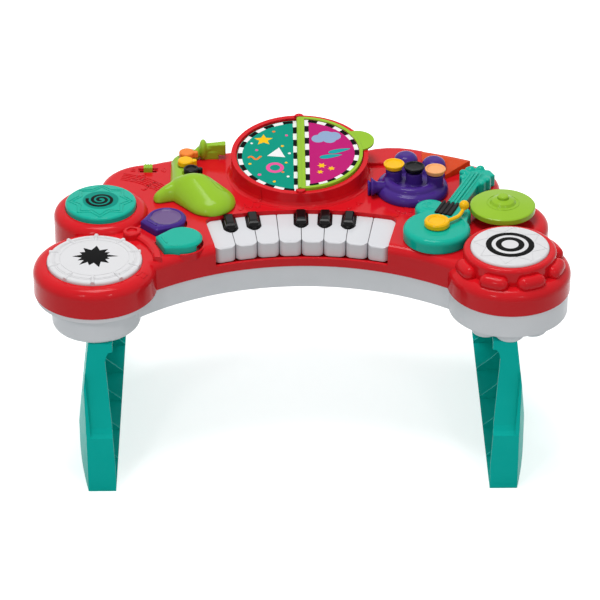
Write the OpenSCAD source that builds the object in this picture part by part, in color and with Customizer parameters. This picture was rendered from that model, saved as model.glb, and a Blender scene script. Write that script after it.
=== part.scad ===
/* [Overall size] */
// Width across the two front lobes
body_w = 600; // [580:5:740]
// Depth from the front lobes to the back of the book turret
body_d = 348; // [340:2:430]
// Height of the main deck above the floor
deck_z = 262; // [240:2:320]
// Height of the seam between the red shell and the grey tray, below the deck
shell_h = 34; // [32:1:44]
// Depth of the grey tray below the seam
tray_h = 28; // [24:1:36]
// Depth of the leg bowls below the tray
bowl_drop = 17; // [14:1:24]
// Wall of the moulded shells
wall = 3; // [2.4:0.2:4]
// Play between pieces that fit in each other
gap = 0.4; // [0.3:0.05:0.6]

/* [Outline] */
// Radius of the front lobes
lobe_r = 69; // [66:1:76]
// Radius of the rear lobes
rear_lobe_r = 54; // [50:1:58]
// Height of the rear lobes above the main deck
rear_lobe_rise = 8; // [4:1:12]
// Depth of the drum lobe edge rounding
edge_r = 12; // [8:1:14]
// Sag of the hollow front edge
front_sag = 51; // [44:1:60]
// Radius of the two back corners
corner_r = 56; // [50:1:60]

/* [Keyboard] */
// Number of white keys
key_n = 8; // [8:1:8]
// Angle between neighbouring white keys
key_pitch = 2.85; // [2.7:0.05:3]
// Distance of the key fronts from the point where their edges meet
fan_r = 500; // [480:5:520]
// Length of the white keys
key_len = 63; // [56:1:70]
// Play between neighbouring keys
key_gap = 1.2; // [0.8:0.1:1.6]
// Width of a black key
sharp_w = 15; // [13:0.5:17]
// Length of a black key
sharp_len = 31; // [26:1:36]
// Height of the black keys above the white ones
sharp_rise = 7; // [4:1:9]
// Radius of the steel key pins
pin_r = 1.5; // [1.2:0.1:1.8]

/* [Pads] */
// Radius of the big drum pad
drum_r = 53; // [48:1:54]
// Radius of the small drum pad
small_drum_r = 40.5; // [36:0.5:41]
// Radius of the tambourine pad
tambourine_r = 44; // [40:1:45]
// Radius of the cymbal
cymbal_r = 37; // [32:1:39]
// How far a pad goes down
pad_travel = 2.5; // [1.5:0.5:3]
// Depth of the wells the pads sit in
well_d = 9; // [8:1:11]

/* [Book] */
// Radius of the book turret
turret_r = 80; // [76:1:86]
// Tilt of the book towards the player
book_tilt = 6; // [3:1:9]
// Height of the middle of the book above the deck
book_rise = 26; // [22:1:34]
// Width of the turret's rim
rim_w = 5.5; // [5:0.5:8]
// Thickness of the page frame
page_t = 5; // [4:0.5:6]

/* [Instruments] */
// Radius of the guitar's lower bout
guitar_r = 38; // [34:1:40]
// Height of the guitar above the deck
guitar_h = 16; // [12:1:20]
// Turn of the guitar's neck from the depth axis
guitar_turn = 23; // [18:0.5:26]
// Height of the horn's body above the deck
horn_h = 12; // [8:1:15]
// Radius of the horn's valve columns
valve_r = 9.5; // [8:0.5:10]
// How far a horn valve goes down
valve_travel = 3; // [2:0.5:3.5]
// Length of a castanet pad
castanet_len = 50; // [44:1:54]
// Radius of the round end of a castanet pad
castanet_r = 23; // [20:1:25]

/* [Legs] */
// Width of a leg's foot
leg_w = 30; // [26:1:36]
// How far the side of a leg bulges at the floor
leg_bulge = 18; // [12:1:24]
// Distance between the stiffening gussets of a leg
gusset_pitch = 62; // [48:1:70]

/* [Hidden] */
$fn = 48;
soft_fn = 32;
wide_fn = 192;

front_y = -body_d / 2;
back_y = body_d / 2;
seam_z = deck_z - shell_h;
tray_z = seam_z - tray_h;
leg_h = tray_z - bowl_drop;

lobe_x = body_w / 2 - lobe_r;
lobe_y = front_y + lobe_r;
right_lobe_drop = 5;
rear_x = lobe_x - 3;
left_rear_y = lobe_y + 110;
right_rear_y = lobe_y + 90;
rear_deck_z = deck_z + rear_lobe_rise;
corner_x = lobe_x - 55;
corner_y = back_y - 105;

// The hollow front edge is an arc between the front lobes
arc_half = lobe_x - lobe_r;
front_mid_y = lobe_y - 6.5 + front_sag;
front_arc_r = (arc_half * arc_half + front_sag * front_sag) / (2 * front_sag);
front_arc_y = front_mid_y - front_arc_r;

// The back edge is a flatter arc
back_half = lobe_x - 21;
back_sag = 51.5;
back_mid_y = back_y - 13.5;
back_arc_r = (back_half * back_half + back_sag * back_sag) / (2 * back_sag);
back_arc_y = back_mid_y - back_arc_r;

// Keyboard levels and radii
key_top = deck_z - 5;
key_bottom = deck_z - 23.5;
ledge_z = deck_z - 24;
bed_z = deck_z - 28;
key_wall = 2;
key_edge_r = 3.6;
end_r = 12;
key_front_r = front_arc_r + 5;
key_back_r = key_front_r + key_len;
fan_y = front_mid_y + 5 - fan_r;
fan_drop = front_arc_y - fan_y;
key_half = key_n / 2 * key_pitch;
tail_len = 7;
knuckle_r = 3.6;
knuckle_w = 10;
pivot_z = deck_z - 14;
pin_play = 0.05;
ear_t = 3;
bed_depth = 15;
plate_rise = 1.5;
sharp_after = [0, 1, 3, 4, 5];

// Book turret
book_y = back_y - turret_r;
book_z = deck_z + book_rise;
bed_drop = 4;
card_t = 1.5;
card_r = turret_r - rim_w - 1.5;
page_r = turret_r - rim_w - 1.2;
spine_r = 3.2;
spine_z = 0.5;
book_pin_r = 1.4;
skirt_w = 5;

// Instrument places, kept relative to the lobe beside each one
guitar_x = lobe_x - 79;
guitar_y = lobe_y + 47;
horn_x = lobe_x - 102;
horn_y = back_y - 122;
sax_x = -(lobe_x - 123);
sax_y = back_y - 152;
switch_x = -(lobe_x - 54);
switch_y = back_y - 70;
knob_x = -(lobe_x - 40);
knob_y = lobe_y + 55;
purple_x = -(lobe_x - 58);
purple_y = lobe_y + 65;
purple_turn = 42;
teal_x = -(lobe_x - 72);
teal_y = lobe_y + 28;
teal_turn = 22.5;
cymbal_x = rear_x + 1;
cymbal_y = right_rear_y;
cymbal_lift = 12;

// Legs
leg_out = lobe_x + 11;
leg_in = leg_out - leg_w;
leg_mid_y = -10;
leg_front = front_y;
leg_back = back_y - 9;
leg_side_r = (170 * 170 + leg_bulge * leg_bulge) / (2 * leg_bulge);
foot_block_h = 75;
neck_cut = 8.5;
strip_w = 6;
strip_h = 150;
castanet_edge = 28;
tenon_w = 20;
tenon_h = 20;
tenon_len = 46;
front_tenon_y = lobe_y - 4;
rear_tenon_y = lobe_y + 112;
knee_y = back_y - 85;
knee_h = leg_h - 30;
gusset_t = 2.5;

// Inner pieces
roof_t = wall + 0.5;
boss_r = 4.5;
screw_r = 1.5;
screw_places = [
    [-150, 60], [150, 60], [-60, 120], [60, 120],
    [-190, -20], [190, -20], [-126, -30], [126, -30]
];
stem_r = 6;
jingle_r = 7.4;
jingle_half = 9;
jingle_turns = [22.5, 67.5, 112.5, 202.5, 247.5, 292.5, 337.5];
castanet_pin_z = deck_z - 3;
castanet_pin_len = 34;
battery_w = 66;
battery_l = 68;
battery_h = 19;
battery_y = 30;
speaker_x = -110;
speaker_y = 60;

// ---------- shared shapes ----------

// Disc with a rounded top edge, standing on z0
module round_disc(r, z0, z1, f) {
    h = z1 - z0;
    translate([0, 0, z0])
        rotate_extrude($fn = r > 100 ? wide_fn : $fn)
            fillet_half(r, h, f);
}

// Half section of a disc with a rounded top edge
module fillet_half(r, h, f) {
    square([r - f, h]);
    square([r, h - f]);
    translate([r - f, h - f])
        intersection() {
            circle(r = f);
            square(f);
        }
}

// Plan of the whole table top, drawn in by d
module outline(d) {
    band_plan(d);
    for (s = [-1, 1])
        translate([s * lobe_x, lobe_y])
            circle(r = lobe_r - d);
    rest_of_outline(d);
}

// Plan of the rear lobes, corners and turret, drawn in by d
module rest_of_outline(d) {
    translate([-rear_x, left_rear_y])
        circle(r = rear_lobe_r - d);
    translate([rear_x, right_rear_y])
        circle(r = rear_lobe_r - d);
    for (s = [-1, 1])
        translate([s * corner_x, corner_y])
            circle(r = corner_r - d);
    translate([0, book_y])
        circle(r = turret_r - d);
}

// Area between the hollow front arc and the back arc
module band_plan(d) {
    difference() {
        intersection() {
            translate([0, back_arc_y])
                circle(r = back_arc_r - d, $fn = wide_fn);
            side_limit();
        }
        translate([0, front_arc_y])
            circle(r = front_arc_r + d, $fn = wide_fn);
    }
}

// Straight sides of the band, hidden inside the lobes
module side_limit() {
    polygon([
        [-lobe_x, lobe_y - 20], [lobe_x, lobe_y - 20],
        [rear_x, right_rear_y], [corner_x, corner_y],
        [corner_x, back_y], [-corner_x, back_y],
        [-corner_x, corner_y], [-rear_x, left_rear_y]
    ]);
}

// Frame of the tilted book, with its origin in the middle of the rim's top
module at_book() {
    translate([0, book_y, book_z])
        rotate([book_tilt, 0, 0])
            children();
}

// Frame of a key that points along the fan angle a
module at_fan(a) {
    translate([0, fan_y, 0])
        rotate([0, 0, -a])
            children();
}

// Distance from the fan's point to an arc of radius r about the front arc's centre
function fan_reach(a, r) = fan_drop * cos(a) + sqrt(r * r - pow(fan_drop * sin(a), 2));

// Plan of the key bed between two arcs and two fan lines
module bed_plan(r0, r1, side) {
    intersection() {
        difference() {
            translate([0, front_arc_y])
                circle(r = r1, $fn = wide_fn);
            translate([0, front_arc_y])
                circle(r = r0, $fn = wide_fn);
        }
        polygon([
            [0, fan_y],
            [-fan_r * 2 * tan(key_half) - side, fan_y + fan_r * 2],
            [fan_r * 2 * tan(key_half) + side, fan_y + fan_r * 2]
        ]);
    }
}

// Plan of a castanet pad grown by d, its hinge edge on the y axis
module castanet_plan(d) {
    r = castanet_r + d;
    cx = castanet_len - castanet_r;
    px = -d;
    py = castanet_edge / 2 + d;
    away = atan2(py, px - cx);
    turn = away - acos(r / norm([px - cx, py]));
    translate([cx, 0])
        circle(r = r);
    polygon([
        [px, -py], [cx + r * cos(turn), -r * sin(turn)],
        [cx + r * cos(turn), r * sin(turn)], [px, py]
    ]);
}

// ---------- red shell ----------

// Solid outer form of the shell, before its cavity and wells
module shell_form() {
    intersection() {
        translate([0, front_arc_y, seam_z])
            rotate_extrude($fn = wide_fn)
                hollow_edge_half(front_arc_r, shell_h, 10);
        translate([0, back_arc_y, 0])
            round_disc(back_arc_r, seam_z, deck_z, 10);
        translate([0, 0, seam_z])
            linear_extrude(shell_h)
                side_limit();
    }
    translate([-lobe_x, lobe_y, 0])
        round_disc(lobe_r, seam_z, deck_z, edge_r);
    translate([lobe_x, lobe_y, 0])
        round_disc(lobe_r, seam_z, deck_z - right_lobe_drop, edge_r);
    translate([-rear_x, left_rear_y, 0])
        round_disc(rear_lobe_r, seam_z, rear_deck_z, edge_r - 1);
    translate([rear_x, right_rear_y, 0])
        round_disc(rear_lobe_r, seam_z, deck_z, edge_r - 1);
    for (s = [-1, 1])
        translate([s * corner_x, corner_y, 0])
            round_disc(corner_r, seam_z, deck_z, edge_r - 2);
    turret_form();
    tambourine_ring();
    drum_key_boss();
    cymbal_post();
}

// Half section of the body outside a hollow edge of radius r, with its top edge rounded
module hollow_edge_half(r, h, f) {
    reach = 700;
    translate([r + f, 0])
        square([reach, h]);
    translate([r, 0])
        square([f, h - f]);
    translate([r + f, h - f])
        intersection() {
            circle(r = f);
            translate([-f, 0])
                square(f);
        }
}

// Round turret that carries the book, with bosses for the page hinge
module turret_form() {
    below_book(turret_r, 0);
    // Hollow skirt round the foot, on the deck in front
    intersection() {
        translate([0, book_y, deck_z])
            rotate_extrude($fn = wide_fn)
                polygon([
                    [turret_r - 2, -2], [turret_r + skirt_w, -2], [turret_r + skirt_w, 0.3],
                    [turret_r + 2.6, 1], [turret_r + 1, 2.6], [turret_r, 6], [turret_r - 2, 6]
                ]);
        translate([-body_w / 2, book_y - 160, deck_z - 10])
            cube([body_w, 200, 40]);
    }
    intersection() {
        at_book()
            for (s = [-1, 1])
                translate([0, s * (turret_r - 5.5), -3])
                    cylinder(r = 5.5, h = 3 + spine_z + 2.5);
        translate([0, book_y, seam_z])
            cylinder(r = turret_r, h = 120);
    }
}

// Upright cylinder from the seam to a tilted plane at height z on the book
module below_book(r, z) {
    intersection() {
        translate([0, book_y, seam_z])
            cylinder(r = r, h = 120);
        at_book()
            translate([-2 * turret_r, -2 * turret_r, z - 200])
                cube([4 * turret_r, 4 * turret_r, 200]);
    }
}

// Raised ring of the tambourine with its jingle bulges
module tambourine_ring() {
    ring_r = tambourine_r + 8;
    ring_top = deck_z + 14;
    translate([lobe_x, lobe_y, 0]) {
        round_disc(ring_r, seam_z, ring_top, 4);
        for (a = jingle_turns)
            rotate([0, 0, a])
                jingle(ring_r + 2, deck_z - 1);
    }
}

// Bean-shaped jingle bulge on a circle of radius r, its middle at height z
module jingle(r, z) {
    translate([0, 0, z]) {
        rotate([0, 0, -jingle_half])
            rotate_extrude(angle = 2 * jingle_half, $fn = wide_fn)
                translate([r, 0])
                    circle(r = jingle_r - 0.6);
        for (s = [-1, 1])
            rotate([0, 0, s * jingle_half])
                translate([r, 0, 0])
                    sphere(r = jingle_r);
    }
}

// Post that carries the cymbal
module cymbal_post() {
    translate([cymbal_x, cymbal_y, 0])
        round_disc(12, seam_z, deck_z + cymbal_lift - pad_travel - 2, 2);
}

// Round screw boss of the big drum
module drum_key_boss() {
    translate([knob_x, knob_y, 0])
        difference() {
            round_disc(10, seam_z, deck_z + 8, 2);
            translate([0, 0, deck_z + 6])
                cylinder(r = 6, h = 4);
        }
    // Band that runs from the boss along the drum to the front edge
    translate([-lobe_x, lobe_y, seam_z])
        rotate([0, 0, 1])
            rotate_extrude(angle = 49, $fn = wide_fn)
                polygon([
                    [lobe_r - 4, 0], [lobe_r + 6, 0], [lobe_r + 6, shell_h + 2.5],
                    [lobe_r + 4, shell_h + 4.5], [lobe_r - 2, shell_h + 4.5], [lobe_r - 4, shell_h + 2.5]
                ]);
}

// Hollow inside of the shell, with walls left round the wells
module shell_cavity() {
    difference() {
        union() {
            translate([0, 0, seam_z - 1])
                linear_extrude(shell_h - edge_r + 1)
                    outline(wall);
            translate([0, 0, seam_z - 1])
                linear_extrude(shell_h - roof_t + 1)
                    outline(wall + 6);
            translate([-rear_x, left_rear_y, seam_z])
                cylinder(r = rear_lobe_r - edge_r, h = rear_deck_z - roof_t - seam_z);
            translate([lobe_x, lobe_y, seam_z])
                cylinder(r = tambourine_r + 4, h = shell_h + 14 - well_d - wall);
            below_book(turret_r - wall, -bed_drop - wall);
        }
        well_walls();
        screw_bosses();
    }
}

// Solid bosses for the screws that come up through the tray
module screw_bosses() {
    for (p = screw_places)
        translate([p[0], p[1], seam_z - 2])
            cylinder(r = boss_r, h = 60);
}

// Walls that the wells keep inside the cavity
module well_walls() {
    grow = wall;
    translate([0, 0, bed_z - wall])
        linear_extrude(shell_h)
            bed_plan(front_arc_r - 1, key_back_r + bed_depth + grow, grow);
    each_pad_well()
        cylinder(r = $pad_r + gap + grow, h = 60);
    castanet_wells(grow, wall);
    translate([lobe_x, lobe_y, deck_z - right_lobe_drop - roof_t])
        difference() {
            cylinder(r = lobe_r, h = 60);
            translate([0, 0, -1])
                cylinder(r = tambourine_r + 5, h = 70);
        }
    translate([switch_x - 18, switch_y - 9, deck_z - 10])
        cube([36, 18, 20]);
    at_book()
        translate([0, 0, -bed_drop - wall])
            cylinder(r = turret_r, h = 30);
}

// Places a child at the floor of each pad's well, less one wall
module each_pad_well() {
    translate([-lobe_x, lobe_y, deck_z - well_d - wall]) {
        $pad_r = drum_r;
        children();
    }
    translate([-rear_x, left_rear_y, rear_deck_z - well_d - wall]) {
        $pad_r = small_drum_r;
        children();
    }
    translate([lobe_x, lobe_y, deck_z + 14 - well_d - wall]) {
        $pad_r = tambourine_r;
        children();
    }
}

// Wells of both castanets, grown by d, their floors lowered by down
module castanet_wells(d, down) {
    for (p = [[purple_x, purple_y, purple_turn], [teal_x, teal_y, teal_turn]])
        translate([p[0], p[1], deck_z - 8 - down])
            rotate([0, 0, p[2]])
                linear_extrude(30)
                    castanet_plan(gap + 0.2 + d);
}

module top_shell() {
    color("#d81f27")
        difference() {
            union() {
                difference() {
                    shell_form();
                    shell_cavity();
                }
                for (p = screw_places)
                    translate([p[0], p[1], tray_z + wall + 0.1])
                        cylinder(r = boss_r, h = shell_h);
            }
            for (p = screw_places)
                translate([p[0], p[1], tray_z])
                    cylinder(r = screw_r, h = 16);
            // Key bed, open at the front above the ledge
            translate([0, 0, bed_z])
                linear_extrude(60)
                    difference() {
                        bed_plan(key_front_r - 1, key_back_r + gap, 0);
                        for (s = [-1, 1])
                            end_corner(s, 0, key_back_r + gap, end_r + gap);
                    }
            translate([0, 0, ledge_z])
                linear_extrude(60)
                    bed_plan(front_arc_r - 30, key_front_r, 0);
            translate([0, 0, bed_z])
                linear_extrude(pivot_z + knuckle_r + 1.6 - bed_z)
                    bed_plan(key_back_r - 1, key_back_r + bed_depth, 0);
            // Pad wells and the holes of their stems
            each_pad_well()
                union() {
                    translate([0, 0, wall])
                        cylinder(r = $pad_r + gap, h = 60);
                    translate([0, 0, -1])
                        cylinder(r = stem_r + gap, h = 20);
                }
            translate([cymbal_x, cymbal_y, deck_z - 20])
                cylinder(r = stem_r + gap, h = 60);
            castanet_wells(0, 0);
            castanet_pin_holes();
            // Book bed
            at_book() {
                translate([0, 0, -bed_drop])
                    cylinder(r = turret_r - rim_w, h = 30);
                rotate([90, 0, 0])
                    translate([0, spine_z, -turret_r + 2])
                        cylinder(r = book_pin_r + pin_play, h = 2 * turret_r - 4);
            }
            // Slot of the volume switch
            translate([switch_x - 9.8, switch_y - 3, deck_z - 20])
                cube([19.6, 6, 40]);
            translate([switch_x - 11.5, switch_y - 5, deck_z - 2])
                cube([23, 10, 20]);
            // Bores of the sax keys
            for (p = sax_keys)
                translate([sax_x + p[0], sax_y + p[1], deck_z - 20])
                    cylinder(r = 3 + gap, h = 40);
        }
}

// Bores for the castanet pins
module castanet_pin_holes() {
    for (p = [[purple_x, purple_y, purple_turn], [teal_x, teal_y, teal_turn]])
        translate([p[0], p[1], castanet_pin_z])
            rotate([0, 0, p[2]])
                translate([4, 0, 0])
                    rotate([90, 0, 0])
                        cylinder(r = pin_r + 0.02, h = castanet_pin_len, center = true);
}

// ---------- grey tray ----------

module base_tray() {
    color("#c9ced3")
        difference() {
            union() {
                tray_body(0);
                leg_bowls(0);
            }
            translate([0, 0, wall])
                tray_body(wall);
            leg_bowls(wall);
            battery_opening(0);
            for (s = [-1, 1])
                for (y = [front_tenon_y, rear_tenon_y])
                    translate([s * (leg_in + leg_w / 2 - 1), y, leg_h])
                        cube([tenon_w + 0.5, tenon_len + 0.5, 20], center = true);
            speaker_grille();
            for (p = screw_places)
                translate([p[0], p[1], tray_z - 1])
                    cylinder(r = screw_r + 0.2, h = 8);
        }
    color("#c9ced3")
        battery_box();
}

// Tray under the shell, drawn in by d
module tray_body(d) {
    h = tray_h + (d > 0 ? 1 : 0);
    translate([0, 0, tray_z])
        linear_extrude(h)
            union() {
                band_plan(d + 2);
                rest_of_outline(d + 2);
                translate([lobe_x, lobe_y])
                    circle(r = lobe_r - 2 - d);
            }
    translate([-lobe_x, lobe_y, seam_z - 6])
        cylinder(r = lobe_r - 2 - d, h = 6 + h - tray_h);
}

// Bowls that hold the tops of the legs, drawn in by d
module leg_bowls(d) {
    top = seam_z - wall - leg_h + d;
    translate([-lobe_x, lobe_y, seam_z - 3])
        mirror([0, 0, 1])
            round_disc(50 - d, d > 0 ? -4 : 0, top - 2 * d, 8);
    translate([lobe_x, lobe_y, seam_z - 3])
        mirror([0, 0, 1]) {
            round_disc(44 - d, d > 0 ? -4 : 0, top - 2 * d, 4);
            for (a = [0:45:315])
                rotate([0, 0, a])
                    translate([37, 0, 0])
                        round_disc(17 - d, d > 0 ? -4 : 0, top - 2 * d, 6);
        }
    for (s = [-1, 1])
        translate([s * (leg_in + leg_w / 2 - 1), rear_tenon_y, leg_h + d])
            linear_extrude(bowl_drop + wall + d)
                square([tenon_w + 12 - 2 * d, tenon_len + 12 - 2 * d], center = true);
}

// Opening of the battery box in the floor of the tray, grown by d
module battery_opening(d) {
    translate([-battery_w / 2 - d, battery_y - battery_l / 2 - d, tray_z - 1])
        cube([battery_w + 2 * d, battery_l + 2 * d, 12]);
}

// Walls of the battery box, moulded on the tray's floor
module battery_box() {
    difference() {
        translate([-battery_w / 2 - wall, battery_y - battery_l / 2 - wall, tray_z])
            cube([battery_w + 2 * wall, battery_l + 2 * wall, battery_h + 4]);
        translate([-battery_w / 2, battery_y - battery_l / 2, tray_z - 1])
            cube([battery_w, battery_l, battery_h + 2]);
    }
    translate([0, battery_y + battery_l / 2 - 5.5, tray_z + 2.9])
        difference() {
            cylinder(r = 4, h = battery_h);
            translate([0, 0, -1])
                cylinder(r = 1.55, h = 8);
        }
}

// Sound slots of the speaker in the tray's floor
module speaker_grille() {
    for (i = [-3:3])
        translate([speaker_x + i * 6 - 1.5, speaker_y - sqrt(24 * 24 - i * i * 36), tray_z - 1])
            cube([3, 2 * sqrt(24 * 24 - i * i * 36), 10]);
}

// ---------- legs ----------

module leg(side) {
    color("#00a08f")
        mirror([side < 0 ? 1 : 0, 0, 0]) {
            difference() {
                union() {
                    leg_form(0);
                    leg_edge_strip();
                }
                difference() {
                    leg_form(wall);
                    leg_gussets();
                }
                leg_flange_cut();
            }
            for (y = [front_tenon_y, rear_tenon_y])
                translate([leg_in + leg_w / 2 - 1, y, leg_h])
                    leg_tenon();
        }
}

// Outer form of the right leg; with d it is the hollow inside, open to the middle
module leg_form(d) {
    intersection() {
        leg_block(d);
        rotate([90, 0, 90])
            linear_extrude(leg_out + 60)
                leg_side_plan(d);
    }
}

// Block between the curved outer side of the right leg and its open inner side
module leg_block(d) {
    open = d > 0 ? 20 : 0;
    intersection() {
        linear_extrude(leg_h)
            intersection() {
                translate([leg_out + leg_bulge - leg_side_r, leg_mid_y])
                    circle(r = leg_side_r - d, $fn = wide_fn);
                translate([leg_in - open, front_y])
                    square([120, body_d]);
            }
        rotate([90, 0, 0])
            linear_extrude(body_d + 40, center = true)
                polygon([
                    [leg_in - open, d], [leg_out + leg_bulge + 1 - d, d],
                    [leg_out - 3 - d, leg_h - d], [leg_in - open, leg_h - d]
                ]);
    }
}

// Narrow edge of the side panel that stands in front of the neck and runs out above it
module leg_edge_strip() {
    out = leg_out + 2;
    intersection() {
        leg_block(0);
        rotate([90, 0, 90])
            linear_extrude(leg_out + 60)
                polygon([
                    [leg_front, foot_block_h - 10], [leg_front + 20, foot_block_h - 10],
                    [leg_front + 24, strip_h + 10], [leg_front + 10.5, strip_h + 10],
                    [leg_front + 1.5, foot_block_h + 2], [leg_front, foot_block_h - 4]
                ]);
        rotate([90, 0, 0])
            linear_extrude(2 * body_d, center = true)
                polygon([
                    [out - strip_w, foot_block_h - 10], [out + 20, foot_block_h - 10],
                    [out + 20, strip_h], [out - 0.5, strip_h]
                ]);
    }
}

// Side view of a leg drawn in by d: a deep foot under a shorter top
module leg_side_plan(d) {
    top_front = lobe_y - 47;
    top_back = rear_tenon_y + tenon_len / 2 + 6;
    polygon([
        [leg_front + d, d], [leg_back - d, d], [knee_y - d, knee_h],
        [top_back - d, leg_h - d], [top_front + d, leg_h - d],
        [leg_front + 6.5 + d, foot_block_h + 6], [leg_front + 4 + d, foot_block_h],
        [leg_front + d, foot_block_h - 4]
    ]);
}

// Gussets between the foot flange and the side of a leg
module leg_gussets() {
    for (y = [leg_front + gusset_pitch : gusset_pitch : leg_back - 20])
        translate([0, y, 0])
            rotate([90, 0, 0])
                linear_extrude(gusset_t)
                    polygon([
                        [leg_in, 0], [leg_in, wall + 2],
                        [leg_in + 18, wall + 17], [leg_in + 34, wall + 34],
                        [leg_in + 60, wall + 34], [leg_in + 60, 0]
                    ]);
}

// Cut that narrows the end walls of a leg between its foot and its neck
module leg_flange_cut() {
    rotate([90, 0, 0])
        linear_extrude(2 * body_d, center = true)
            polygon([
                [leg_in - 1, 8], [leg_in + 2, foot_block_h], [leg_in + neck_cut, leg_h - 22],
                [leg_in + neck_cut - 1.5, leg_h - 15], [leg_in + neck_cut - 4, leg_h - 11],
                [leg_in - 1, leg_h - 10]
            ]);
}

// Hollow tenon that pushes up into the tray
module leg_tenon() {
    difference() {
        translate([-tenon_w / 2, -tenon_len / 2, -wall])
            cube([tenon_w, tenon_len, tenon_h + wall]);
        translate([-tenon_w / 2 + 2.5, -tenon_len / 2 + 2.5, -wall - 1])
            cube([tenon_w - 5, tenon_len - 5, tenon_h + wall - 1.5]);
    }
}

// ---------- keyboard ----------

// Plan of white key k, grown by d
module white_key_plan(k, d) {
    a = (k - (key_n - 1) / 2) * key_pitch;
    half = key_pitch / 2;
    intersection() {
        difference() {
            translate([0, front_arc_y])
                circle(r = key_back_r + d, $fn = wide_fn);
            translate([0, front_arc_y])
                circle(r = key_front_r - d, $fn = wide_fn);
        }
        at_fan_2d(a)
            polygon([
                [-key_gap / 2 + d, 0], [key_gap / 2 - d, 0],
                [fan_r * 1.3 * tan(half) - key_gap / 2 + d, fan_r * 1.3],
                [-fan_r * 1.3 * tan(half) + key_gap / 2 - d, fan_r * 1.3]
            ]);
    }
}

module at_fan_2d(a) {
    translate([0, fan_y])
        rotate(-a)
            children();
}

// Plan of a black key grown by d, its back at the back arc
module sharp_plan(b, d) {
    a = (b + 1 - key_n / 2) * key_pitch;
    back = fan_reach(a, key_back_r);
    w = sharp_w / 2 + d;
    at_fan_2d(a)
        polygon([
            [-w, back + 1], [w, back + 1], [w, back - sharp_len + 7],
            [w - 2.5, back - sharp_len + 3 - d / 2], [1.8 + d / 2, back - sharp_len - d],
            [-1.8 - d / 2, back - sharp_len - d], [-w + 2.5, back - sharp_len + 3 - d / 2],
            [-w, back - sharp_len + 7]
        ]);
}

module white_key(k) {
    a = (k - (key_n - 1) / 2) * key_pitch;
    back = fan_reach(a, key_back_r);
    front = fan_reach(a, key_front_r);
    pivot = back + tail_len;
    color("#f2f3f5")
        difference() {
            union() {
                intersection() {
                    translate([0, 0, key_bottom])
                        linear_extrude(key_top - key_bottom)
                            key_outline(k, 0);
                    translate([0, front_arc_y, key_bottom])
                        rotate_extrude($fn = wide_fn)
                            hollow_edge_half(key_front_r - 0.6, key_top - key_bottom, key_edge_r);
                }
                at_fan(a) {
                    translate([-knuckle_w / 2, back - 5, pivot_z - knuckle_r])
                        cube([knuckle_w, tail_len + 5, 2 * knuckle_r]);
                    translate([0, pivot, pivot_z])
                        rotate([0, 90, 0])
                            cylinder(r = knuckle_r, h = knuckle_w, center = true);
                }
            }
            difference() {
                translate([0, 0, key_bottom - 1])
                    linear_extrude(key_top - key_bottom + 1 - key_wall)
                        key_outline(k, -key_wall);
                at_fan(a)
                    translate([-knuckle_w / 2, back - 6, 0])
                        cube([knuckle_w, 20, key_top]);
                at_fan(a)
                    translate([-5, front + 12, key_bottom + 1])
                        cube([10, 8, 20]);
            }
            at_fan(a)
                translate([0, pivot, pivot_z])
                    rotate([0, 90, 0])
                        cylinder(r = pin_r + pin_play, h = knuckle_w + 2, center = true);
        }
}

// Rounded outline of white key k without the room of the black keys
module key_outline(k, d) {
    round_front = 7;
    round_back = 2;
    difference() {
        offset(delta = d)
            union() {
                offset(r = round_front, $fn = 40)
                    offset(delta = -round_front)
                        white_key_plan(k, 0);
                intersection() {
                    offset(r = round_back, $fn = 24)
                        offset(delta = -round_back)
                            white_key_plan(k, 0);
                    translate([0, front_arc_y])
                        difference() {
                            circle(r = key_back_r + 5, $fn = wide_fn);
                            circle(r = key_front_r + key_len / 2, $fn = wide_fn);
                        }
                }
            }
        for (b = sharp_after)
            if (b == k || b + 1 == k)
                sharp_plan(b, 1 - d);
        if (k == 0)
            end_corner(-1, key_gap / 2 - d, key_back_r + d, end_r + d);
        if (k == key_n - 1)
            end_corner(1, key_gap / 2 - d, key_back_r + d, end_r + d);
    }
}

// What a corner of radius r cuts off the key row at its end s, between the side and back_r
module end_corner(s, edge, back_r, r) {
    inset = edge + r - 0.4;
    reach_x = inset - sin(key_half) * fan_drop;
    reach_y = cos(key_half) * fan_drop + sqrt(pow(back_r - r + 0.4, 2) - reach_x * reach_x);
    at_fan_2d(s * key_half)
        translate([-s * inset, reach_y])
            difference() {
                translate([s > 0 ? 0 : -2 * r, 0])
                    square(2 * r);
                circle(r = r);
            }
}

module black_keys() {
    color("#15161a")
        for (b = sharp_after)
            sharp(b);
}

// One black key: a plate on a foot, and a head with sloping sides and front
module sharp(b) {
    a = (b + 1 - key_n / 2) * key_pitch;
    back = fan_reach(a, key_back_r);
    front = back - sharp_len;
    w = sharp_w / 2 - 1.4;
    top = key_top + sharp_rise;
    translate([0, 0, bed_z])
        linear_extrude(key_top + plate_rise - bed_z)
            intersection() {
                sharp_plan(b, 0);
                translate([0, front_arc_y])
                    circle(r = key_back_r, $fn = wide_fn);
            }
    intersection() {
        at_fan(a)
            rotate([90, 0, 90])
                linear_extrude(sharp_w + 10, center = true)
                    polygon([
                        [back - 1, key_top], [front + 1.6, key_top],
                        [front + 2.4, key_top + plate_rise + 1], [front + 6, top - 1.5],
                        [front + 8.5, top - 0.4], [front + 12, top], [back - 1, top]
                    ]);
        at_fan(a)
            rotate([90, 0, 0])
                linear_extrude(3 * fan_r, center = true)
                    polygon([
                        [-w, key_top - 1], [w, key_top - 1], [w, key_top + plate_rise + 1],
                        [w - 0.7, top - 1.2], [w - 2.2, top + 0.1],
                        [2.2 - w, top + 0.1], [0.7 - w, top - 1.2], [-w, key_top + plate_rise + 1]
                    ]);
        translate([0, 0, key_top - 1])
            linear_extrude(sharp_rise + 2)
                sharp_plan(b, -1.2);
    }
}

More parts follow.
